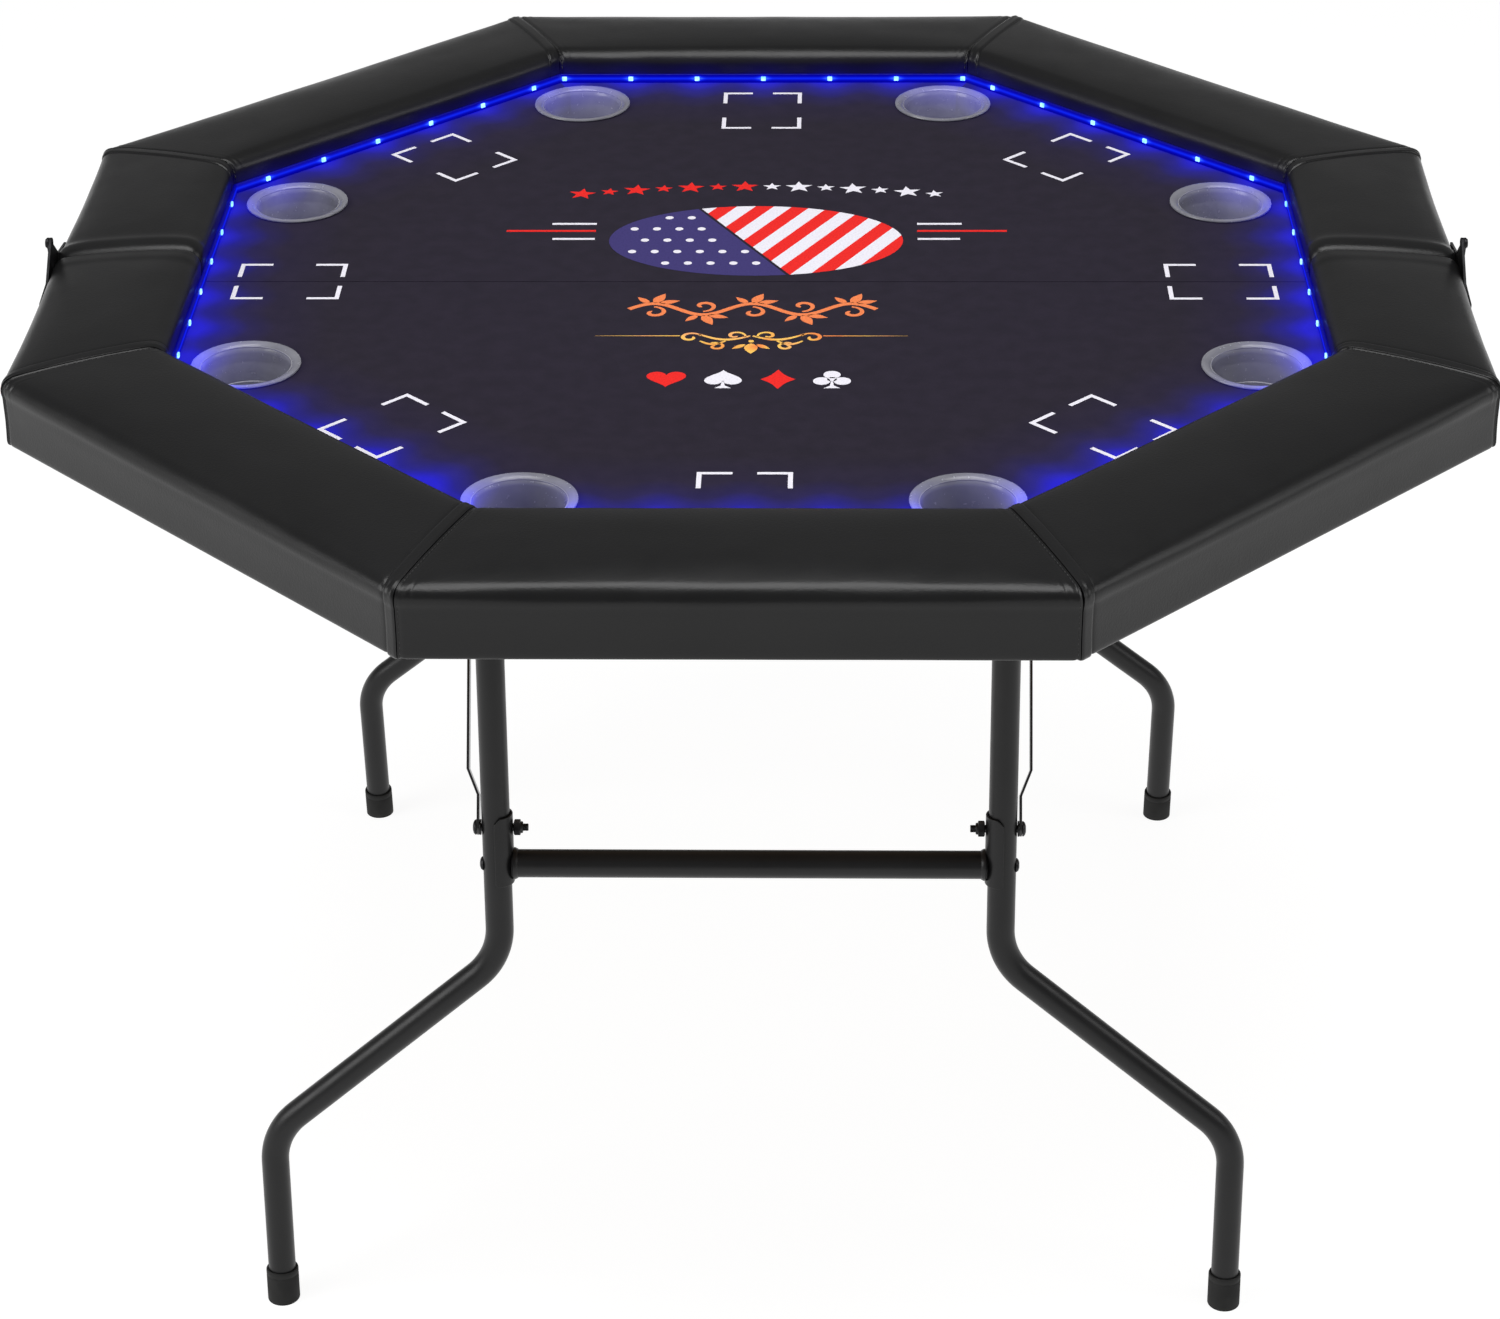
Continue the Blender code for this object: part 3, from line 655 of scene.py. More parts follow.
def foam_lift(kinds):
    """Blows the leather up over its foam with a cloth simulation; returns the move at each station."""
    stations = [i / 4 for i in range(4)] + [1 + i / 14 for i in range(15)] + [2 + i / 4 for i in range(1, 5)]

    def at_rest(i, s):
        r, z = SECTION[i][:2]
        return Vector((along_side(kinds, r, s), -r, z))

    pad = mesh_piece("foam_pad", loft(stations, at_rest))
    count = len(SECTION)
    held = pad.vertex_groups.new(name="held")
    for row in range(len(stations)):
        for i, (_, _, share) in enumerate(SECTION):
            ends = row in (0, len(stations) - 1)
            held.add([row * count + i], 1.0 if ends or not share else 1.0 - share, "REPLACE")
    start = [vert.co.copy() for vert in pad.data.vertices]
    cloth_pad = pad.modifiers.new("leather", "CLOTH")
    cloth_pad.settings.quality = 6
    cloth_pad.settings.mass = 0.4
    cloth_pad.settings.tension_stiffness = 40
    cloth_pad.settings.compression_stiffness = 40
    cloth_pad.settings.shear_stiffness = 20
    cloth_pad.settings.bending_stiffness = 4
    cloth_pad.settings.use_pressure = True
    cloth_pad.settings.uniform_pressure_force = 4
    cloth_pad.settings.effector_weights.gravity = 0
    cloth_pad.settings.vertex_group_mass = "held"
    for number in range(1, 21):
        bpy.context.scene.frame_set(number)
    work_on(pad)
    bpy.ops.object.modifier_apply(modifier="leather")
    bpy.context.scene.frame_set(1)
    moves = [vert.co - rest for vert, rest in zip(pad.data.vertices, start)]
    discard(pad)
    most = max(move.z for move in moves)
    moves = [move * (FOAM_RISE / most) for move in moves]
    rows = [moves[row * count:(row + 1) * count] for row in range(len(stations))]
    return stations, rows


def lift_at(field, i, s):
    stations, rows = field
    for row in range(len(stations) - 1):
        if s <= stations[row + 1]:
            share = (s - stations[row]) / (stations[row + 1] - stations[row])
            return rows[row][i].lerp(rows[row + 1][i], share)
    return rows[-1][i]


def smoothstep(low, high, value):
    share = min(max((value - low) / (high - low), 0), 1)
    return share * share * (3 - 2 * share)


def hump(value, middle, width):
    """1 at the middle, falling to nothing on both sides of it."""
    return math.exp(-((value - middle) / width) ** 2)


def seam_shape(kind, d, i, seed, raised=False):
    """How far a cover's surface stands out at a distance d from one of its ends."""
    on_roll = hump(i, OUTER_ROLL + 1, 4.0) + 0.5 * hump(i, INNER_ROLL, 4.0)
    pucker = 0.0005 * math.sin(2 * math.pi * d / 0.0058 + seed) * hump(d, 0, 0.014) * on_roll
    if kind == "stitched":  # the thread pulls the leather down along its line
        return pucker - 0.0011 * hump(d, STITCH_LINE, 0.0010)
    if kind == "folded":  # a raised strip beside the mitre, with a groove on each side of it
        strip = 0.0009 * (1 - smoothstep(0.0097, 0.0106, d))
        return strip + pucker - 0.0007 * hump(d, 0.0110, 0.0009) - 0.0006 * hump(d, 0, 0.0009)
    # The leather rolls over the end at the fold, with a bulge and a hollow behind it
    radius, bulge = (0.0095, 0.0012) if raised else (0.0055, 0.0003)
    roll = math.sqrt(max(radius ** 2 - max(radius - d, 0) ** 2, 0)) - radius
    return roll + bulge * hump(d, 0.016, 0.006) - 0.0006 * hump(d, 0.027, 0.005)


def fold_patch(bm, row, sign):
    """Leather over the rail's end at the fold: a thin slab with the cover's own outline."""
    last, low = SHOWN.stop, RAIL_LOW + 0.0002
    outline = [Vector((-sign * FOLD_HALF, p.y, p.z)) for p in row[:last + 1]]
    outline += [Vector((-sign * FOLD_HALF, -(INNER + WALL), z)) for z in (row[last].z, low)]
    outline.append(Vector((-sign * FOLD_HALF, row[0].y, low)))
    under = [bm.verts.new(p) for p in outline]
    over = [bm.verts.new(p + Vector((sign * FOLD_WRAP, 0, 0))) for p in outline]
    bm.faces.new(under)
    bm.faces.new(over)
    for k in range(len(outline)):
        j = (k + 1) % len(outline)
        bm.faces.new((under[k], under[j], over[j], over[k]))


def rail_cover(name, kinds, field, seed, raised):
    """A cover on the side that faces front; its sections follow the foam, its seams and its slack."""

    def placed_at(i, s):
        r, z, share = SECTION[i]
        along = along_side(kinds, r, s)
        d_start = along - end_of(kinds[0], -1, r)
        d_end = end_of(kinds[1], 1, r) - along
        out = 0.0
        if i in SHOWN:
            calm = smoothstep(0.004, 0.03, min(d_start, d_end))
            slack = noise.noise(Vector((along * 13, i * 0.16, seed * 7.3)))
            slack += 0.5 * noise.noise(Vector((along * 34, i * 0.30, seed * 3.1 + 5)))
            out += SLACK * slack * calm * max(share, 0.25)
            out += seam_shape(kinds[0], d_start, i, seed, raised)
            out += seam_shape(kinds[1], d_end, i, seed + 1, raised)
            near_end = hump(min(d_start, d_end), 0, 0.06)
            out += END_SWELL * share * near_end * hump(i, OUTER_ROLL, 3.0)
        lift = lift_at(field, i, s)
        normal_r, normal_z = NORMALS[i]
        r += out * normal_r - lift.y
        z += out * normal_z + lift.z
        r = max(r, INNER + 0.0001) if i < SHOWN.stop else r
        return Vector((along + lift.x, -min(r, OUTER), min(z, RAIL_TOP - 0.0001)))

    stations = fine_stations(kinds)
    rows = [[placed_at(i, s) for i in range(len(SECTION))] for s in stations]
    index = {s: row for row, s in enumerate(stations)}
    obj = mesh_piece(name, loft(stations, lambda i, s: rows[index[s]][i]))
    work_on(obj)
    smooth = obj.modifiers.new("smooth", "SUBSURF")
    smooth.levels = 1
    smooth.render_levels = 1
    bpy.ops.object.modifier_apply(modifier="smooth")
    bm = bmesh.new()
    bm.from_mesh(obj.data)
    middle = sum(vert.co.x for vert in bm.verts) / len(bm.verts)
    for side in (-1, 1):
        rim = [e for e in bm.edges if e.is_boundary and side * (e.verts[0].co.x - middle) > 0]
        bmesh.ops.triangle_fill(bm, use_beauty=True, edges=rim)
    for end, kind in enumerate(kinds):
        if kind == "fold":
            fold_patch(bm, rows[-end], 1 if end else -1)
    bmesh.ops.recalc_face_normals(bm, faces=bm.faces)
    bm.to_mesh(obj.data)
    bm.free()
    bpy.ops.object.shade_smooth_by_angle(angle=math.radians(50))
    return dress(obj, LEATHER)


def seam_line(kinds, field, end, distance):
    """Points over the cover at a distance from one end, with their outward directions."""
    found = []
    sign = 1 if end else -1
    s = 3 - distance / TRIM if end else distance / TRIM
    for i in STITCHED:
        r, z = SECTION[i][:2]
        lift = lift_at(field, i, s)
        normal_r, normal_z = NORMALS[i]
        out = seam_shape(kinds[end], distance, i, 0)
        along = end_of(kinds[end], sign, r) - sign * distance
        found.append((Vector((along, -(r - lift.y + out * normal_r), z + lift.z + out * normal_z)),
                      Vector((0, -normal_r, normal_z))))
    return found


STITCH_LENGTH = 0.0027
STITCH_PITCH = 0.0041
STITCH_RADIUS = 0.00042
# Along a stitch: the share of its length, and its radius and rise as shares of the thread's radius
STITCH_SHAPE = ((0, 0.5, -0.4), (0.2, 0.9, 0.35), (0.5, 1, 0.55), (0.8, 0.9, 0.35), (1, 0.5, -0.4))


def add_stitch(bm, start, end, up):
    """One thread stitch: six sides, thick in the middle, both ends in the leather."""
    axis = (end - start).normalized()
    side = axis.cross(up).normalized()
    rows = []
    turns = [k * math.pi / 3 for k in range(6)]
    for share, radius, rise in STITCH_SHAPE:
        centre = start.lerp(end, share) + up * rise * STITCH_RADIUS
        rows.append([bm.verts.new(centre + (side * math.cos(a) + up * math.sin(a)) * radius * STITCH_RADIUS)
                     for a in turns])
    for first, second in zip(rows, rows[1:]):
        for k in range(6):
            bm.faces.new((first[k], first[(k + 1) % 6], second[(k + 1) % 6], second[k]))
    bm.faces.new(rows[0])
    bm.faces.new(rows[-1])


def stitch_along(bm, line, matrix):
    """Stitches at an even pitch along a line of points and their outward directions."""
    travelled, next_start = 0.0, 0.002
    turn = matrix.to_3x3()
    for (a, up_a), (b, up_b) in zip(line, line[1:]):
        step = (b - a).length
        while next_start <= travelled + step:
            share = (next_start - travelled) / step
            up = up_a.lerp(up_b, share).normalized()
            start = a.lerp(b, share)
            end = start + (b - a).normalized() * STITCH_LENGTH
            add_stitch(bm, matrix @ start, matrix @ end, (turn @ up).normalized())
            next_start += STITCH_PITCH
        travelled += step


def facing(degrees):
    """Turns a piece made on the front side so that it faces another way."""
    return Matrix.Rotation(math.radians(degrees), 4, "Z")


STAPLE_PITCH = 0.027
STAPLE_ROWS = ((0, -0.19, 0.19), (45, -0.19, 0.19), (-45, -0.19, 0.19), (90, -0.20, -0.02),
               (-90, 0.02, 0.20))


def staples(name, half):
    """Staples that hold the leather's turned hem under the rail."""
    pattern = block("staple", 0.0095, 0.0010, 0.0007)
    bevel(pattern, 0.0002, 1)
    made = []
    for degrees, low, high in STAPLE_ROWS:
        count = round((high - low) / STAPLE_PITCH)
        for k in range(count + 1):
            along = low + (high - low) * k / count
            tilt = 0.12 * math.sin(5.1 * k + degrees)
            place = Matrix.Translation((along, -(OUTER - 0.0275), HEM_UNDER)) @ Matrix.Rotation(tilt, 4, "Z")
            made.append(copy_of(pattern, name, HALVES[half] @ facing(degrees) @ place))
    discard(pattern)
    joined = join(*made)
    joined.name = name
    return dress(joined, STAPLE_WIRE)


# On the front half: the cushion, where it faces, and its start and end
COVERS = (
    ("cushion", 0, ("stitched", "stitched")),
    ("right_diagonal_cushion", 45, ("folded", "stitched")),
    ("left_diagonal_cushion", -45, ("stitched", "folded")),
    ("right_side_cushion", 90, ("folded", "fold")),
    ("left_side_cushion", -90, ("fold", "folded")),
)


def cushion_of(half, word):
    """The cushion's node; left and right change places on the rear half, which is turned round."""
    swap = {"left": "right", "right": "left"} if half == "rear" else {}
    return "_".join([half] + [swap.get(part, part) for part in word.split("_")])


def rail():
    fields = {kinds: foam_lift(kinds) for kinds in (("stitched", "stitched"), ("folded", "fold"),
                                                    ("fold", "folded"))}
    for number, (half, turn) in enumerate(HALVES.items()):
        threads = bmesh.new()
        for place, (word, degrees, kinds) in enumerate(COVERS):
            field = fields.get(kinds) or fields[("stitched", "stitched")]
            node = cushion_of(half, word)
            matrix = turn @ facing(degrees)
            cover = rail_cover(f"{node}_cover", kinds, field, 2 * place + number, half == "rear")
            moved(cover, matrix)
            stand_for(cover, node)
            for end, kind in enumerate(kinds):
                if kind == "stitched":
                    stitch_along(threads, seam_line(kinds, field, end, STITCH_LINE), matrix)
        seam = dress(mesh_piece(f"{half}_rail_stitching", threads), THREAD)
        work_on(seam)
        bpy.ops.object.shade_smooth()
        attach(seam, f"{half}_half")
        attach(staples(f"{half}_hem_staples", half), f"{half}_half")
        dress(frame["nodes"][f"{half}_board"], BOARD)
        dress(frame["nodes"][f"{half}_rail_core"], CORE)


# Playing cloth and its print

PRINT_LOW, PRINT_TOP = CLOTH_TOP - 0.0001, CLOTH_TOP + 0.00015
DOT_LIFT = 0.00008  # the badge's dots are printed over its blue field


def rectangle(x0, y0, x1, y1):
    return [(x0, y0), (x1, y0), (x1, y1), (x0, y1)]


def stroke(points, widths):
    """A ribbon round a line, with a width at each point: its left and right edges."""
    left, right = [], []
    for i, ((x, y), width) in enumerate(zip(points, widths)):
        before, after = points[max(i - 1, 0)], points[min(i + 1, len(points) - 1)]
        run, rise = after[0] - before[0], after[1] - before[1]
        length = math.hypot(run, rise) or 1
        out = (-rise / length * width / 2, run / length * width / 2)
        left.append((x + out[0], y + out[1]))
        right.append((x - out[0], y - out[1]))
    return left, right


def kept_side(outline, a, b, c):
    """The part of a convex outline where a * x + b * y is at most c."""
    found = []
    for (x0, y0), (x1, y1) in zip(outline, outline[1:] + outline[:1]):
        d0, d1 = a * x0 + b * y0 - c, a * x1 + b * y1 - c
        if d0 <= 0:
            found.append((x0, y0))
        if (d0 < 0 < d1) or (d1 < 0 < d0):
            share = d0 / (d0 - d1)
            found.append((x0 + (x1 - x0) * share, y0 + (y1 - y0) * share))
    return found


def star(x, y, radius, turn):
    """Five points and the five notches between them."""
    found = []
    for k in range(10):
        reach, angle = radius * (0.42 if k % 2 else 1), k * math.pi / 5 + turn
        found.append((x + reach * math.sin(angle), y + reach * math.cos(angle)))
    return found


def leaf(x, y, length, width, degrees):
    """A leaf from its stalk at (x, y)."""
    turn = math.radians(degrees)
    steps = 10
    upper = [(length * k / steps, width / 2 * math.sin(math.pi * (k / steps) ** 0.8))
             for k in range(steps + 1)]
    lower = [(u, -v) for u, v in upper[-2:0:-1]]
    return [(x + u * math.cos(turn) - v * math.sin(turn), y + u * math.sin(turn) + v * math.cos(turn))
            for u, v in upper + lower]


def disc(x, y, radius, steps=20):
    return [(x + radius * math.cos(2 * math.pi * k / steps), y + radius * math.sin(2 * math.pi * k / steps))
            for k in range(steps)]


def heart(x, y, size):
    found = []
    for k in range(36):
        t = 2 * math.pi * k / 36
        found.append((x + size * 0.0310 * 16 * math.sin(t) ** 3,
                      y + size * 0.0310 * (13 * math.cos(t) - 5 * math.cos(2 * t) - 2 * math.cos(3 * t)
                                           - math.cos(4 * t)) + size * 0.06))
    return found


def diamond(x, y, size):
    found = []
    corners = [(0, 0.52), (0.40, 0), (0, -0.52), (-0.40, 0)]
    for (x0, y0), (x1, y1) in zip(corners, corners[1:] + corners[:1]):
        for k in range(6):
            share = k / 6
            pinch = 1 - 0.16 * math.sin(math.pi * share)
            found.append((x + size * (x0 + (x1 - x0) * share) * pinch,
                          y + size * (y0 + (y1 - y0) * share) * pinch))
    return found


def stem(x, y, size):
    half = [(0.020, -0.1), (0.05, -0.36), (0.20, -0.50)]
    return [(x + u * size, y + v * size) for u, v in [(-u, v) for u, v in half] + half[::-1]]


def spade(x, y, size):
    body = [(px, 2 * y - py + 0.10 * size) for px, py in heart(x, y, size * 0.92)]
    return [body, stem(x, y, size)]


def club(x, y, size):
    return [disc(x, y + 0.26 * size, 0.21 * size), disc(x - 0.25 * size, y - 0.10 * size, 0.21 * size),
            disc(x + 0.25 * size, y - 0.10 * size, 0.21 * size), disc(x, y, 0.12 * size), stem(x, y, size)]


def spiral(x, y, radius, start, turns):
    """A line that winds in to (x, y); the sign of turns says which way."""
    steps, grow = 30, 0.18
    found = []
    for k in range(steps + 1):
        reach = radius * (1 - (1 - grow) * k / steps)
        angle = math.radians(start) + 2 * math.pi * turns * k / steps
        found.append((x + reach * math.cos(angle), y + reach * math.sin(angle)))
    return found


def tapered(points, widest):
    """A ribbon that is widest in its middle."""
    count, narrowest = len(points) - 1, 0.3
    swells = [math.sin(math.pi * (0.1 + 0.8 * k / count)) for k in range(count + 1)]
    return stroke(points, [widest * (narrowest + (1 - narrowest) * swell) for swell in swells])


def mirrored(shapes):
    """The shapes and their mirror images across the table's middle."""
    found = list(shapes)
    for shape in shapes:
        if isinstance(shape, tuple):
            found.append(tuple([(-x, y) for x, y in edge] for edge in shape))
        else:
            found.append([(-x, y) for x, y in shape[::-1]])
    return found


CARD_NEAR, CARD_FAR = 0.331, 0.418  # middle of the table to a card place's two ends
CARD_HALF = 0.035
CARD_LEG, CARD_LINE = 0.026, 0.0036  # the length and width of a corner mark's two strokes
FRONT_CARD_SHIFT = 0.010  # the front card place lies this much further out


def card_corners(degrees):
    """The four corner marks of a card place; degrees is the side it belongs to."""
    turn = math.radians(degrees)
    found = []
    shift = FRONT_CARD_SHIFT if degrees == -90 else 0
    for radial, way in ((CARD_NEAR + shift, 1), (CARD_FAR + shift, -1)):
        for side in (-1, 1):
            a, b = side * CARD_HALF, side * (CARD_HALF - CARD_LEG)
            c = side * (CARD_HALF - CARD_LINE)
            line, leg = radial + way * CARD_LINE, radial + way * CARD_LEG
            points = [(radial, a), (radial, b), (line, b), (line, c), (leg, c), (leg, a)]
            found.append([(r * math.cos(turn) - t * math.sin(turn), r * math.sin(turn) + t * math.cos(turn))
                          for r, t in points])
    return found


def badge():
    """An oval badge: slanted red and white bands beside a blue field of small dots."""
    middle, wide, high = 0.0835, 0.121, 0.072
    oval = [(wide * math.cos(2 * math.pi * k / 72), middle + high * math.sin(2 * math.pi * k / 72))
            for k in range(72)]
    slant, band, edge = 0.55, 0.0155, -0.010
    rise = slant * middle
    bands = {"red": [], "white": []}
    for k in range(-4, 16):
        start = edge + (k - 3) * band
        shape = kept_side(oval, -1, slant, rise - start)
        shape = kept_side(shape, 1, -slant, start + band - rise)
        shape = kept_side(shape, -1, -slant, -edge - rise)
        if len(shape) > 2:
            bands["red" if k % 2 else "white"].append(shape)
    field = kept_side(oval, 1, slant, edge - 0.003 + rise)
    dots = []
    for row in range(5):
        for column in range(7):
            x = -0.110 + 0.0185 * column + (0.009 if row % 2 else 0)
            y = middle + (row - 2) * 0.0235
            inside = (x / 0.110) ** 2 + ((y - middle) / 0.064) ** 2 < 1
            if inside and x + slant * (y - middle) < edge - 0.011:
                dots.append(disc(x, y, 0.0034, 12))
    return bands, field, dots


def orange_vine():
    """A vine of curls and leaves, as wide as a line of large letters."""
    half, middle, steps = 0.098, -0.054, 80
    waves = [(-half + 2 * half * k / steps, middle + 0.0105 * math.sin(2 * math.pi * 2.5 * k / steps))
             for k in range(steps + 1)]
    found = [stroke(waves, [0.0048] * (steps + 1))]
    for k in range(5):
        x = 0.8 * half * (k / 2 - 1)
        up = 1 if k % 2 == 0 else -1
        bud = middle + up * 0.0115
        found.append(tapered(spiral(x, middle - up * 0.006, 0.0105, 90 * up, -0.9 * up), 0.0040))
        found.append(leaf(x, bud, 0.020, 0.0085, 66 * up))
        found.append(leaf(x + 0.004, bud, 0.017, 0.007, 16 * up))
        found.append(leaf(x - 0.004, bud, 0.015, 0.006, 130 * up))
    return found


def gold_scroll():
    """Two mirrored scrolls over a drop and leaves, with a line that thins out on each side."""
    y = -0.1045
    sides = [
        stroke([(0.0560 + 0.066 * k / 10, y) for k in range(11)], [0.0014 * (1 - k / 11) for k in range(11)]),
        tapered([(0.001 + 0.040 * k / 20, y - 0.0085 * math.sin(math.pi * k / 20) + 0.003 * k / 20)
                 for k in range(21)], 0.0034),
        tapered(spiral(0.0125, y + 0.0005, 0.0080, 200, -0.95), 0.0028),
        tapered(spiral(0.0475, y - 0.0030, 0.0090, 160, -1.05), 0.0032),
        tapered([(0.020 + 0.020 * k / 14, y - 0.0095 - 0.006 * math.sin(math.pi * k / 14))
                 for k in range(15)], 0.0030),
        tapered(spiral(0.0275, y - 0.0195, 0.0075, 60, 1.05), 0.0028),
        leaf(0.0045, y - 0.0160, 0.013, 0.0050, -38),
    ]
    drop = leaf(0.0, y - 0.0140, 0.0190, 0.0105, -90)
    return mirrored(sides) + [drop, disc(0, y - 0.0100, 0.0022)]


def star_arc():
    """Stars on a shallow arc over the badge, red on the left and white on the right."""
    found = {"red": [], "white": []}
    for k in range(14):
        x = -0.149 + 0.298 * k / 13
        share = x / 0.16
        size = 0.0118 if k % 2 == 0 else 0.0078
        shape = star(x, 0.1985 - 0.0185 * share ** 2, size, -0.12 * share)
        found["red" if x < 0 else "white"].append(shape)
    return found


def print_outlines():
    """Every printed shape, by the half and the ink it belongs to."""
    stripes, field, dots = badge()
    stars = star_arc()
    bars = [rectangle(0.1330, 0.1160, 0.1700, 0.1196), rectangle(0.1330, 0.0845, 0.1680, 0.0881)]
    long_bars = [rectangle(0.1330, 0.1012, 0.2070, 0.1048)]
    y, size = -0.1835, 0.030
    red_suits = [heart(-0.0636, y, size * 1.02), diamond(0.0218, y, size * 1.1)]
    white_suits = spade(-0.0201, y, size * 1.05) + club(0.0630, y, size * 1.05)
    sides = {"front": (-90, -45, -135), "rear": (90, 45, 135)}
    marks = {half: [corner for degrees in angles for corner in card_corners(degrees)]
             for half, angles in sides.items()}
    for degrees in (0, 180):
        for corner in card_corners(degrees):
            marks["front" if corner[0][1] < 0 else "rear"].append(corner)
    return {
        "front": {"white": marks["front"] + white_suits, "red": red_suits, "orange": orange_vine(),
                  "gold": gold_scroll()},
        "rear": {"white": marks["rear"] + mirrored(bars) + stripes["white"] + stars["white"],
                 "red": mirrored(long_bars) + stripes["red"] + stars["red"], "blue": [field]},
        "badge": {"white": dots},
    }


def slab(bm, rim, cells, low, high):
    """A thin closed slab: its rim as points, and its faces as places in the rim."""
    under = [bm.verts.new((x, y, low)) for x, y in rim]
    over = [bm.verts.new((x, y, high)) for x, y in rim]
    for cell in cells:
        bm.faces.new([under[k] for k in cell])
        bm.faces.new([over[k] for k in cell])
    for k in range(len(rim)):
        j = (k + 1) % len(rim)
        bm.faces.new((under[k], under[j], over[j], over[k]))


def print_piece(name, shapes, colour, lift=0.0):
    """Flat ink on the cloth; a shape is an outline, or a ribbon's two edges."""
    bm = bmesh.new()
    for shape in shapes:
        if isinstance(shape, tuple):
            left, right = shape
            count = len(left)
            rim = left + right[::-1]
            cells = [(k, k + 1, 2 * count - 2 - k, 2 * count - 1 - k) for k in range(count - 1)]
        else:
            rim, cells = shape, [range(len(shape))]
        slab(bm, rim, cells, PRINT_LOW + lift, PRINT_TOP + lift)
    return dress(mesh_piece(name, bm), INKS[colour])


def cloth_edge(half):
    """The cloth turned down over the board's edge at the fold."""
    low, high = BOARD_UNDER + 0.0005, CLOTH_TOP - 0.0004
    edge = block(f"{half}_cloth_edge", 2 * CLOTH_EDGE - 0.002, FOLD_WRAP, high - low)
    bevel(edge, 0.00015, 1)
    moved(edge, HALVES[half] @ Matrix.Translation((0, FOLD_WRAP / 2 - FOLD_HALF, (low + high) / 2)))
    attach(dress(edge, CLOTH), f"{half}_half")


def playing_cloths():
    outlines = print_outlines()
    for half in HALVES:
        prints = []
        for colour, shapes in outlines[half].items():
            prints.append(print_piece(f"{half}_{colour}_print", shapes, colour))
        if half == "rear":
            prints.append(print_piece("rear_dot_print", outlines["badge"]["white"], "white", DOT_LIFT))
        for piece in prints:
            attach(piece, f"{half}_half")
        cloth_edge(half)
        sheet = refined(f"{half}_playing_cloth", f"{half}_cloth", 0.0004, CLOTH)


# Light strip

def chip_places(degrees):
    """Where the chips sit along the side that faces this way; a side rail has only its own half."""
    if degrees == 0:
        return [k * CHIP_PITCH for k in range(-3, 4)]
    places = [(k + 0.5) * CHIP_PITCH for k in range(-3, 3)]
    return [p for p in places if abs(degrees) != 90 or p * degrees < 0]


def light_strips():
    chip = block("chip", 0.0042, 0.0016, 0.0038)
    bevel(chip, 0.0005, 2)
    for half, turn in HALVES.items():
        refined(f"{half}_light_strip", f"{half}_light_band", 0.0005, STRIP_LIGHT)
        chips = []
        for degrees in (0, 45, -45, 90, -90):
            for along in chip_places(degrees):
                spot = Matrix.Translation((along, -STRIP_FACE + 0.0006, STRIP_MIDDLE))
                chips.append(copy_of(chip, "chip", turn @ facing(degrees) @ spot))
        chips = dress(join(*chips), CHIP_LIGHT)
        chips.name = f"{half}_light_chips"
        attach(chips, f"{half}_half")
    discard(chip)


# Cup holders

def cup_pattern():
    """The whole wall in one turn: under the floor, up the outside, over the rim and down the inside."""
    top, under = CLOTH_TOP + 0.0026, CLOTH_TOP + 0.0004
    bottom = top - 0.060
    outside = [(0.0006, bottom), (0.0240, bottom), (0.0255, bottom + 0.0012), (0.0285, bottom + 0.0006),
               (0.0308, bottom + 0.0016), (0.0315, bottom + 0.0040), (0.0340, top - 0.0100), (0.0347, under)]
    rim = [(0.0410, under), (0.0422, under + 0.0003), (0.0425, under + 0.0010), (0.0422, top - 0.0004),
           (0.0412, top - 0.0001), (0.0398, top), (0.0382, top - 0.0004), (0.0362, top - 0.0014),
           (0.0343, top - 0.0034)]
    inside = [(0.0336, top - 0.0070), (0.0322, bottom + 0.0300), (0.0316, bottom + 0.0295),
              (0.0303, bottom + 0.0060), (0.0290, bottom + 0.0030), (0.0262, bottom + 0.0022),
              (0.0252, bottom + 0.0030), (0.0225, bottom + 0.0034), (0.0006, bottom + 0.0034)]
    return dress(turned("cup_pattern", outside + rim + inside, 64, 35), CUP)


def cups():
    pattern = cup_pattern()
    for half, turn in HALVES.items():
        for degrees, word in ((-22.5, "side"), (-67.5, "end"), (-112.5, "end"), (-157.5, "side")):
            angle = math.radians(degrees)
            x, y = CUP_CIRCLE * math.cos(angle), CUP_CIRCLE * math.sin(angle)
            node = f"{half}_{word_of(half, x)}_{word}_cup_holder"
            cup = copy_of(pattern, node.replace("_holder", ""), turn @ Matrix.Translation((x, y, 0)))
            stand_for(cup, node)
    discard(pattern)


# Leg sets, modelled on the right in the leg's own frame: the pivot at the origin, down is -Z

def down_leg(height):
    """Distance down a leg at a height of the standing table."""
    return (PIVOT.z - height) / math.cos(LEAN)


LEG_LENGTH = down_leg(0)
CAP_INSIDE = 0.0055  # from the floor up to the tube's end in its foot cap


def bent_leg():
    upper, lower = down_leg(UPPER_BEND_Z), down_leg(LOWER_BEND_Z)
    run, drop = FOOT_X - UPRIGHT_X, lower - upper
    angle = math.atan2(run, drop)
    trim = BEND * math.tan(angle / 2)
    length = math.hypot(run, drop) - 2 * trim
    leg = ring("leg_pattern", TUBE, (UPRIGHT_X, 0, -TUBE - GAP))
    half_upright = (upper - trim - TUBE - GAP) / 2
    pull(0, 0, -half_upright)
    pull(0, 0, -half_upright)
    bpy.ops.mesh.spin(steps=14, angle=-angle, center=(UPRIGHT_X + BEND, 0, -(upper - trim)), axis=(0, -1, 0))
    pull(length * math.sin(angle), 0, -length * math.cos(angle))
    bpy.ops.mesh.spin(steps=14, angle=angle, center=(FOOT_X - BEND, 0, -(lower + trim)), axis=(0, -1, 0))
    pull(0, 0, -(LEG_LENGTH - CAP_INSIDE - lower - trim))
    close_ends()
    return dress(leg, TUBE_PAINT)


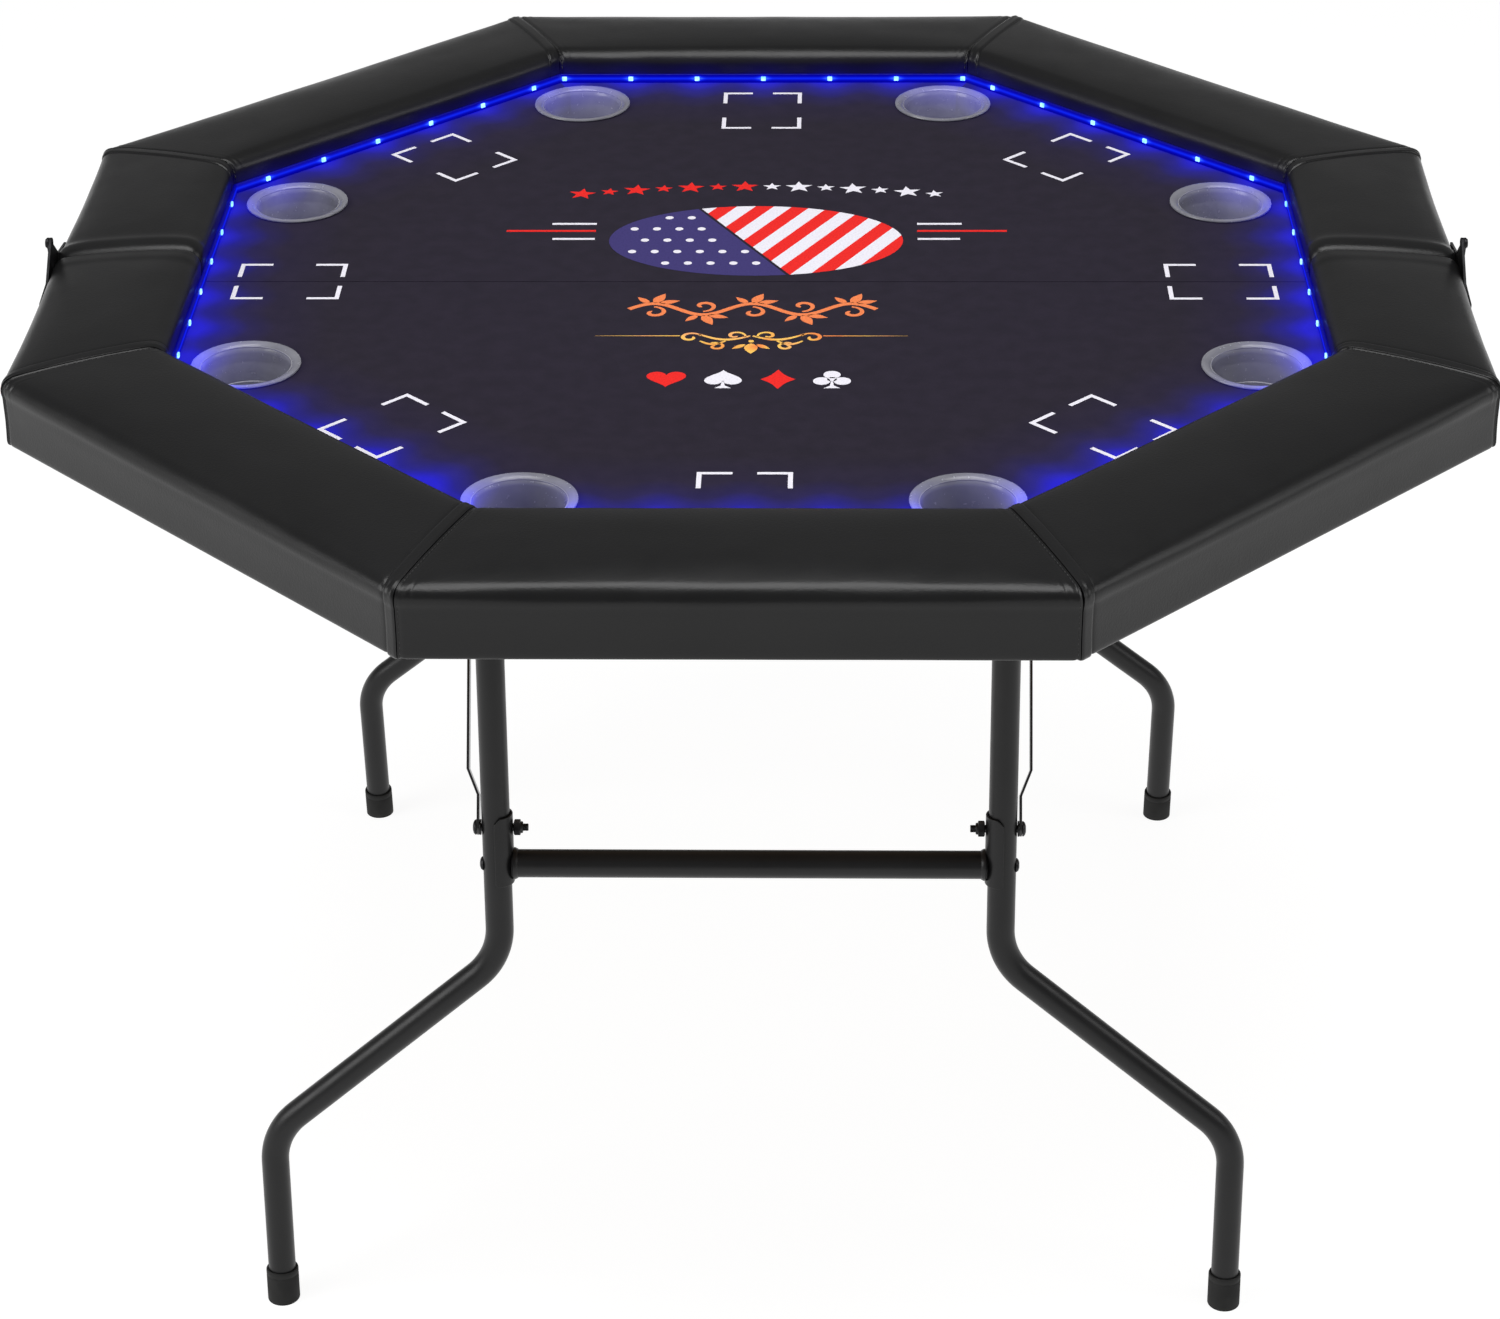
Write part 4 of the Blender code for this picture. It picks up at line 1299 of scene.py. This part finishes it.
def pivot_tube():
    """The tube that the leg set turns on, with its two rims rounded off."""
    end, rim = 0.2290, 0.0012
    tube = ring("pivot_pattern", TUBE - rim, (-end, 0, 0), (0, math.pi / 2, 0))
    pull(rim, 0, 0)
    bpy.ops.transform.resize(value=(1, TUBE / (TUBE - rim), TUBE / (TUBE - rim)),
                             center_override=(-end + rim, 0, 0))
    pull(2 * (end - rim), 0, 0)
    pull(rim, 0, 0)
    bpy.ops.transform.resize(value=(1, (TUBE - rim) / TUBE, (TUBE - rim) / TUBE), center_override=(end, 0, 0))
    close_ends()
    return dress(tube, TUBE_PAINT)


def saddle():
    """A half-round plate round the inside of an upright, with its corners cut off."""
    low, high = -down_leg(SADDLE_LOW), -down_leg(SADDLE_HIGH)
    bpy.ops.object.select_all(action="DESELECT")
    bpy.ops.mesh.primitive_cylinder_add(vertices=48, radius=0.0116, depth=high - low, end_fill_type="NOTHING",
                                        location=(UPRIGHT_X, 0, (low + high) / 2))
    plate = bpy.context.object
    bpy.ops.object.transform_apply(location=True, rotation=True, scale=True)
    edit(plate)
    bpy.ops.mesh.bisect(plane_co=(UPRIGHT_X + 0.0005, 0, 0), plane_no=(1, 0, 0), clear_outer=True)
    bpy.ops.mesh.select_all(action="SELECT")
    bpy.ops.mesh.bisect(plane_co=(UPRIGHT_X - 0.004, 0, high), plane_no=(0.75, 0, 0.66), clear_outer=True)
    bpy.ops.mesh.select_all(action="SELECT")
    bpy.ops.mesh.bisect(plane_co=(UPRIGHT_X - 0.002, 0, low), plane_no=(0.5, 0, -0.86), clear_outer=True)
    end_edit()
    wall = plate.modifiers.new("wall", "SOLIDIFY")
    wall.thickness = 0.0016
    wall.offset = 1
    work_on(plate)
    bpy.ops.object.modifier_apply(modifier="wall")
    bevel(plate, 0.0005, 2, 50)
    return plate


def crossbar():
    end = UPRIGHT_X - 0.0118
    bar = ring("crossbar_pattern", TUBE, (-end, 0, -down_leg(CROSSBAR_Z)), (0, math.pi / 2, 0))
    pull(2 * end, 0, 0)
    close_ends()
    right = saddle()
    left = copy_of(right, "left_saddle", MIRROR)
    weld = turned("weld_bead", [(0.0108, -0.0024), (0.0116, -0.0016), (0.0124, 0.0), (0.0126, 0.0012),
                                (0.0110, 0.0020)], 32)
    place = Matrix.Translation((UPRIGHT_X - 0.0142, 0, -down_leg(CROSSBAR_Z)))
    place = place @ Matrix.Rotation(math.pi / 2, 4, "Y")
    left_weld = copy_of(weld, "left_weld", MIRROR @ place)
    moved(weld, place)
    return dress(join(bar, right, left, weld, left_weld), TUBE_PAINT)


def domed_head(name, radius, height):
    return turned(name, [(0.0004, height), (radius * 0.45, height * 0.97), (radius * 0.80, height * 0.72),
                         (radius * 0.97, height * 0.36), (radius, height * 0.12), (radius * 0.96, 0)], 28)


def stay_bolt():
    """Made along Z: the domed head, a washer, a hexagon nut with its collar, and the thread's end."""
    outer, inner = 0.2100, 0.1700
    head = moved(domed_head("bolt_head", 0.0060, 0.0028), Matrix.Translation((0, 0, outer)))
    thread_end = [(0.0026, inner)]
    for k in range(6):
        thread_end += [(0.0030, inner + 0.0005 + 0.0007 * k), (0.0027, inner + 0.00085 + 0.0007 * k)]
    shank = turned("bolt_shank", thread_end + [(0.0030, inner + 0.0046), (0.0030, outer + 0.0005)], 20)
    nut = turned("bolt_nut", [(0.0034, 0.1742), (0.0042, 0.1742), (0.0045, 0.1746), (0.0046, 0.1760),
                              (0.0052, 0.1762)], 24)
    flats = turned("bolt_flats", [(0.0050, 0.1758), (0.0062, 0.1763), (0.0062, 0.1806),
                                  (0.0052, 0.1812)], 6, 20)
    washer = turned("bolt_washer", [(0.0034, 0.2064), (0.0060, 0.2064), (0.0062, 0.2067), (0.0062, 0.2071),
                                    (0.0060, 0.2074), (0.0034, 0.2074)], 28)
    bolt = join(head, shank, nut, flats, washer)
    turn = Matrix.Translation((0, 0, -BOLT_DROP)) @ Matrix.Rotation(math.pi / 2, 4, "Y")
    return dress(moved(bolt, turn), BOLT_STEEL)


def crossbar_rivet():
    """The round head on the upright's outside, level with the crossbar."""
    head = domed_head("rivet_pattern", 0.0056, 0.0030)
    place = Matrix.Translation((UPRIGHT_X + TUBE - 0.0006, 0, -down_leg(CROSSBAR_Z)))
    return dress(moved(head, place @ Matrix.Rotation(math.pi / 2, 4, "Y")), BOLT_STEEL)


def foot_cap():
    end = -LEG_LENGTH
    profile = [(0.0112, 0.0200), (0.0112, 0.0276), (0.0118, 0.0280), (0.0126, 0.0277), (0.0130, 0.0268),
               (0.0130, 0.0236), (0.0127, 0.0232), (0.0127, 0.0222), (0.0130, 0.0218), (0.0130, 0.0030),
               (0.0130, -0.0040)]
    cap = turned("cap_pattern", [(r, end + h) for r, h in profile], 40)
    return dress(moved(cap, Matrix.Translation((FOOT_X, 0, 0))), RUBBER)


def cut_at_floor(obj):
    edit(obj)
    bpy.ops.mesh.bisect(plane_co=(0, 0, 0), plane_no=(0, 0, -1), clear_outer=True, use_fill=True)
    end_edit()


def leg_sets():
    patterns = {"leg_tube": (bent_leg(), "frame_paint"), "foot_cap": (foot_cap(), "foot_rubber"),
                "stay_bolt": (stay_bolt(), "bolt_steel")}
    rivet, bar, tube = crossbar_rivet(), crossbar(), pivot_tube()
    for half, turn in HALVES.items():
        leg_frame = turn @ Matrix.Translation(PIVOT) @ Matrix.Rotation(-LEAN, 4, "X")
        stand_for(copy_of(bar, f"{half}_leg_crossbar", leg_frame), f"{half}_crossbar")
        stand_for(copy_of(tube, f"{half}_leg_pivot", leg_frame), f"{half}_pivot_tube")
        for side in (1, -1):
            word = word_of(half, side)
            matrix = leg_frame if side > 0 else leg_frame @ MIRROR
            for kind, (pattern, slot) in patterns.items():
                piece = copy_of(pattern, f"{half}_{word}_{kind}_made", matrix)
                if kind == "foot_cap":
                    cut_at_floor(piece)
                stand_for(piece, f"{half}_{word}_{kind}")
            head = copy_of(rivet, f"{half}_{word}_crossbar_rivet", matrix)
            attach(head, f"{half}_legs")
            place = f"{half}_{word}"
            for kind in ("upper_stay", "lower_stay"):
                refined(f"{place}_{kind}", f"{place}_{kind}_bar", 0.0003, STAY_PAINT)
            refined(f"{place}_leg_bracket", f"{place}_bracket", 0.0004, TUBE_PAINT)
            refined(f"{place}_fold_hinge", f"{place}_hinge_leaf", 0.0003, HINGE_STEEL)
    discard(rivet, bar, tube, *(pattern for pattern, _ in patterns.values()))


# Fixings under the board, and the light strip's switch

def pan_head_screw():
    """A screw head that hangs from the face it holds, with a shallow round recess in its middle."""
    head = turned("screw_pattern", [(0.0036, 0), (0.0037, -0.0006), (0.0031, -0.0016), (0.0018, -0.0020),
                                    (0.0012, -0.0014), (0.0004, -0.0011)], 20, 30)
    return dress(head, BOLT_STEEL)


SCREW_PLACES = ((0.2125, -0.255), (0.2365, -0.310), (0.2125, -0.190), (0.2365, -0.150), (0.2365, -0.225))


def bracket_screws():
    pattern = pan_head_screw()
    for half, turn in HALVES.items():
        made = []
        for side in (-1, 1):
            for x, y in SCREW_PLACES:
                place = Matrix.Translation((side * x, y, BOARD_UNDER))
                made.append(copy_of(pattern, "screw", turn @ place))
        screws = join(*made)
        screws.name = f"{half}_bracket_screws"
        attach(screws, f"{half}_half")
    discard(pattern)


def switch():
    refined("light_control_box", "light_switch_box", 0.0012, PLASTIC)
    refined("light_button", "light_switch_button", 0.0006, PLASTIC)


# Stage

CAMERA_PLACE = (0.0647, -2.823, 1.982)
CAMERA_TURNS = (1.44, 90 - 29.49, -0.57)  # about Z, then X, then Z again


def camera():
    data = bpy.data.cameras.new("camera")
    data.lens = 91.68
    data.sensor_width = 36
    data.clip_end = 60
    obj = bpy.data.objects.new("camera", data)
    bpy.context.scene.collection.objects.link(obj)
    first, tilt, last = (math.radians(a) for a in CAMERA_TURNS)
    turn = Matrix.Rotation(first, 4, "Z") @ Matrix.Rotation(tilt, 4, "X") @ Matrix.Rotation(last, 4, "Z")
    obj.matrix_world = Matrix.Translation(CAMERA_PLACE) @ turn
    bpy.context.scene.camera = obj


def area_light(name, place, target, size, watts):
    data = bpy.data.lights.new(name, "AREA")
    data.shape = "RECTANGLE"
    data.size, data.size_y = size
    data.energy = watts
    obj = bpy.data.objects.new(name, data)
    bpy.context.scene.collection.objects.link(obj)
    obj.location = place
    obj.rotation_euler = (Vector(target) - Vector(place)).to_track_quat("-Z", "Y").to_euler()


def stage():
    bpy.ops.object.select_all(action="DESELECT")
    bpy.ops.mesh.primitive_plane_add(size=60)
    floor = bpy.context.object
    floor.name = "stage_floor"
    white = Finish("stage_white", (0.18, 0.18, 0.18), 0.9, specular=0.0)
    white.shader.inputs["Emission Color"].default_value = (1, 1, 1, 1)
    white.shader.inputs["Emission Strength"].default_value = 0.91
    dress(floor, white.material)
    world = bpy.data.worlds.new("studio")
    world.use_nodes = True
    world.node_tree.nodes["Background"].inputs["Color"].default_value = (1, 1, 1, 1)
    world.node_tree.nodes["Background"].inputs["Strength"].default_value = 0.24
    bpy.context.scene.world = world
    middle = (0, 0, 0.5)
    area_light("window_left", (-3.4, -1.6, 2.0), middle, (2.2, 2.2), 70)
    area_light("window_right", (3.6, -0.9, 2.2), middle, (1.6, 2.0), 26)
    area_light("overhead", (0, -0.5, 3.3), (0, 0, 0.7), (2.6, 1.5), 66)
    bpy.context.scene.view_settings.view_transform = "Standard"


camera()
stage()
rail()
playing_cloths()
light_strips()
cups()
leg_sets()
bracket_screws()
switch()
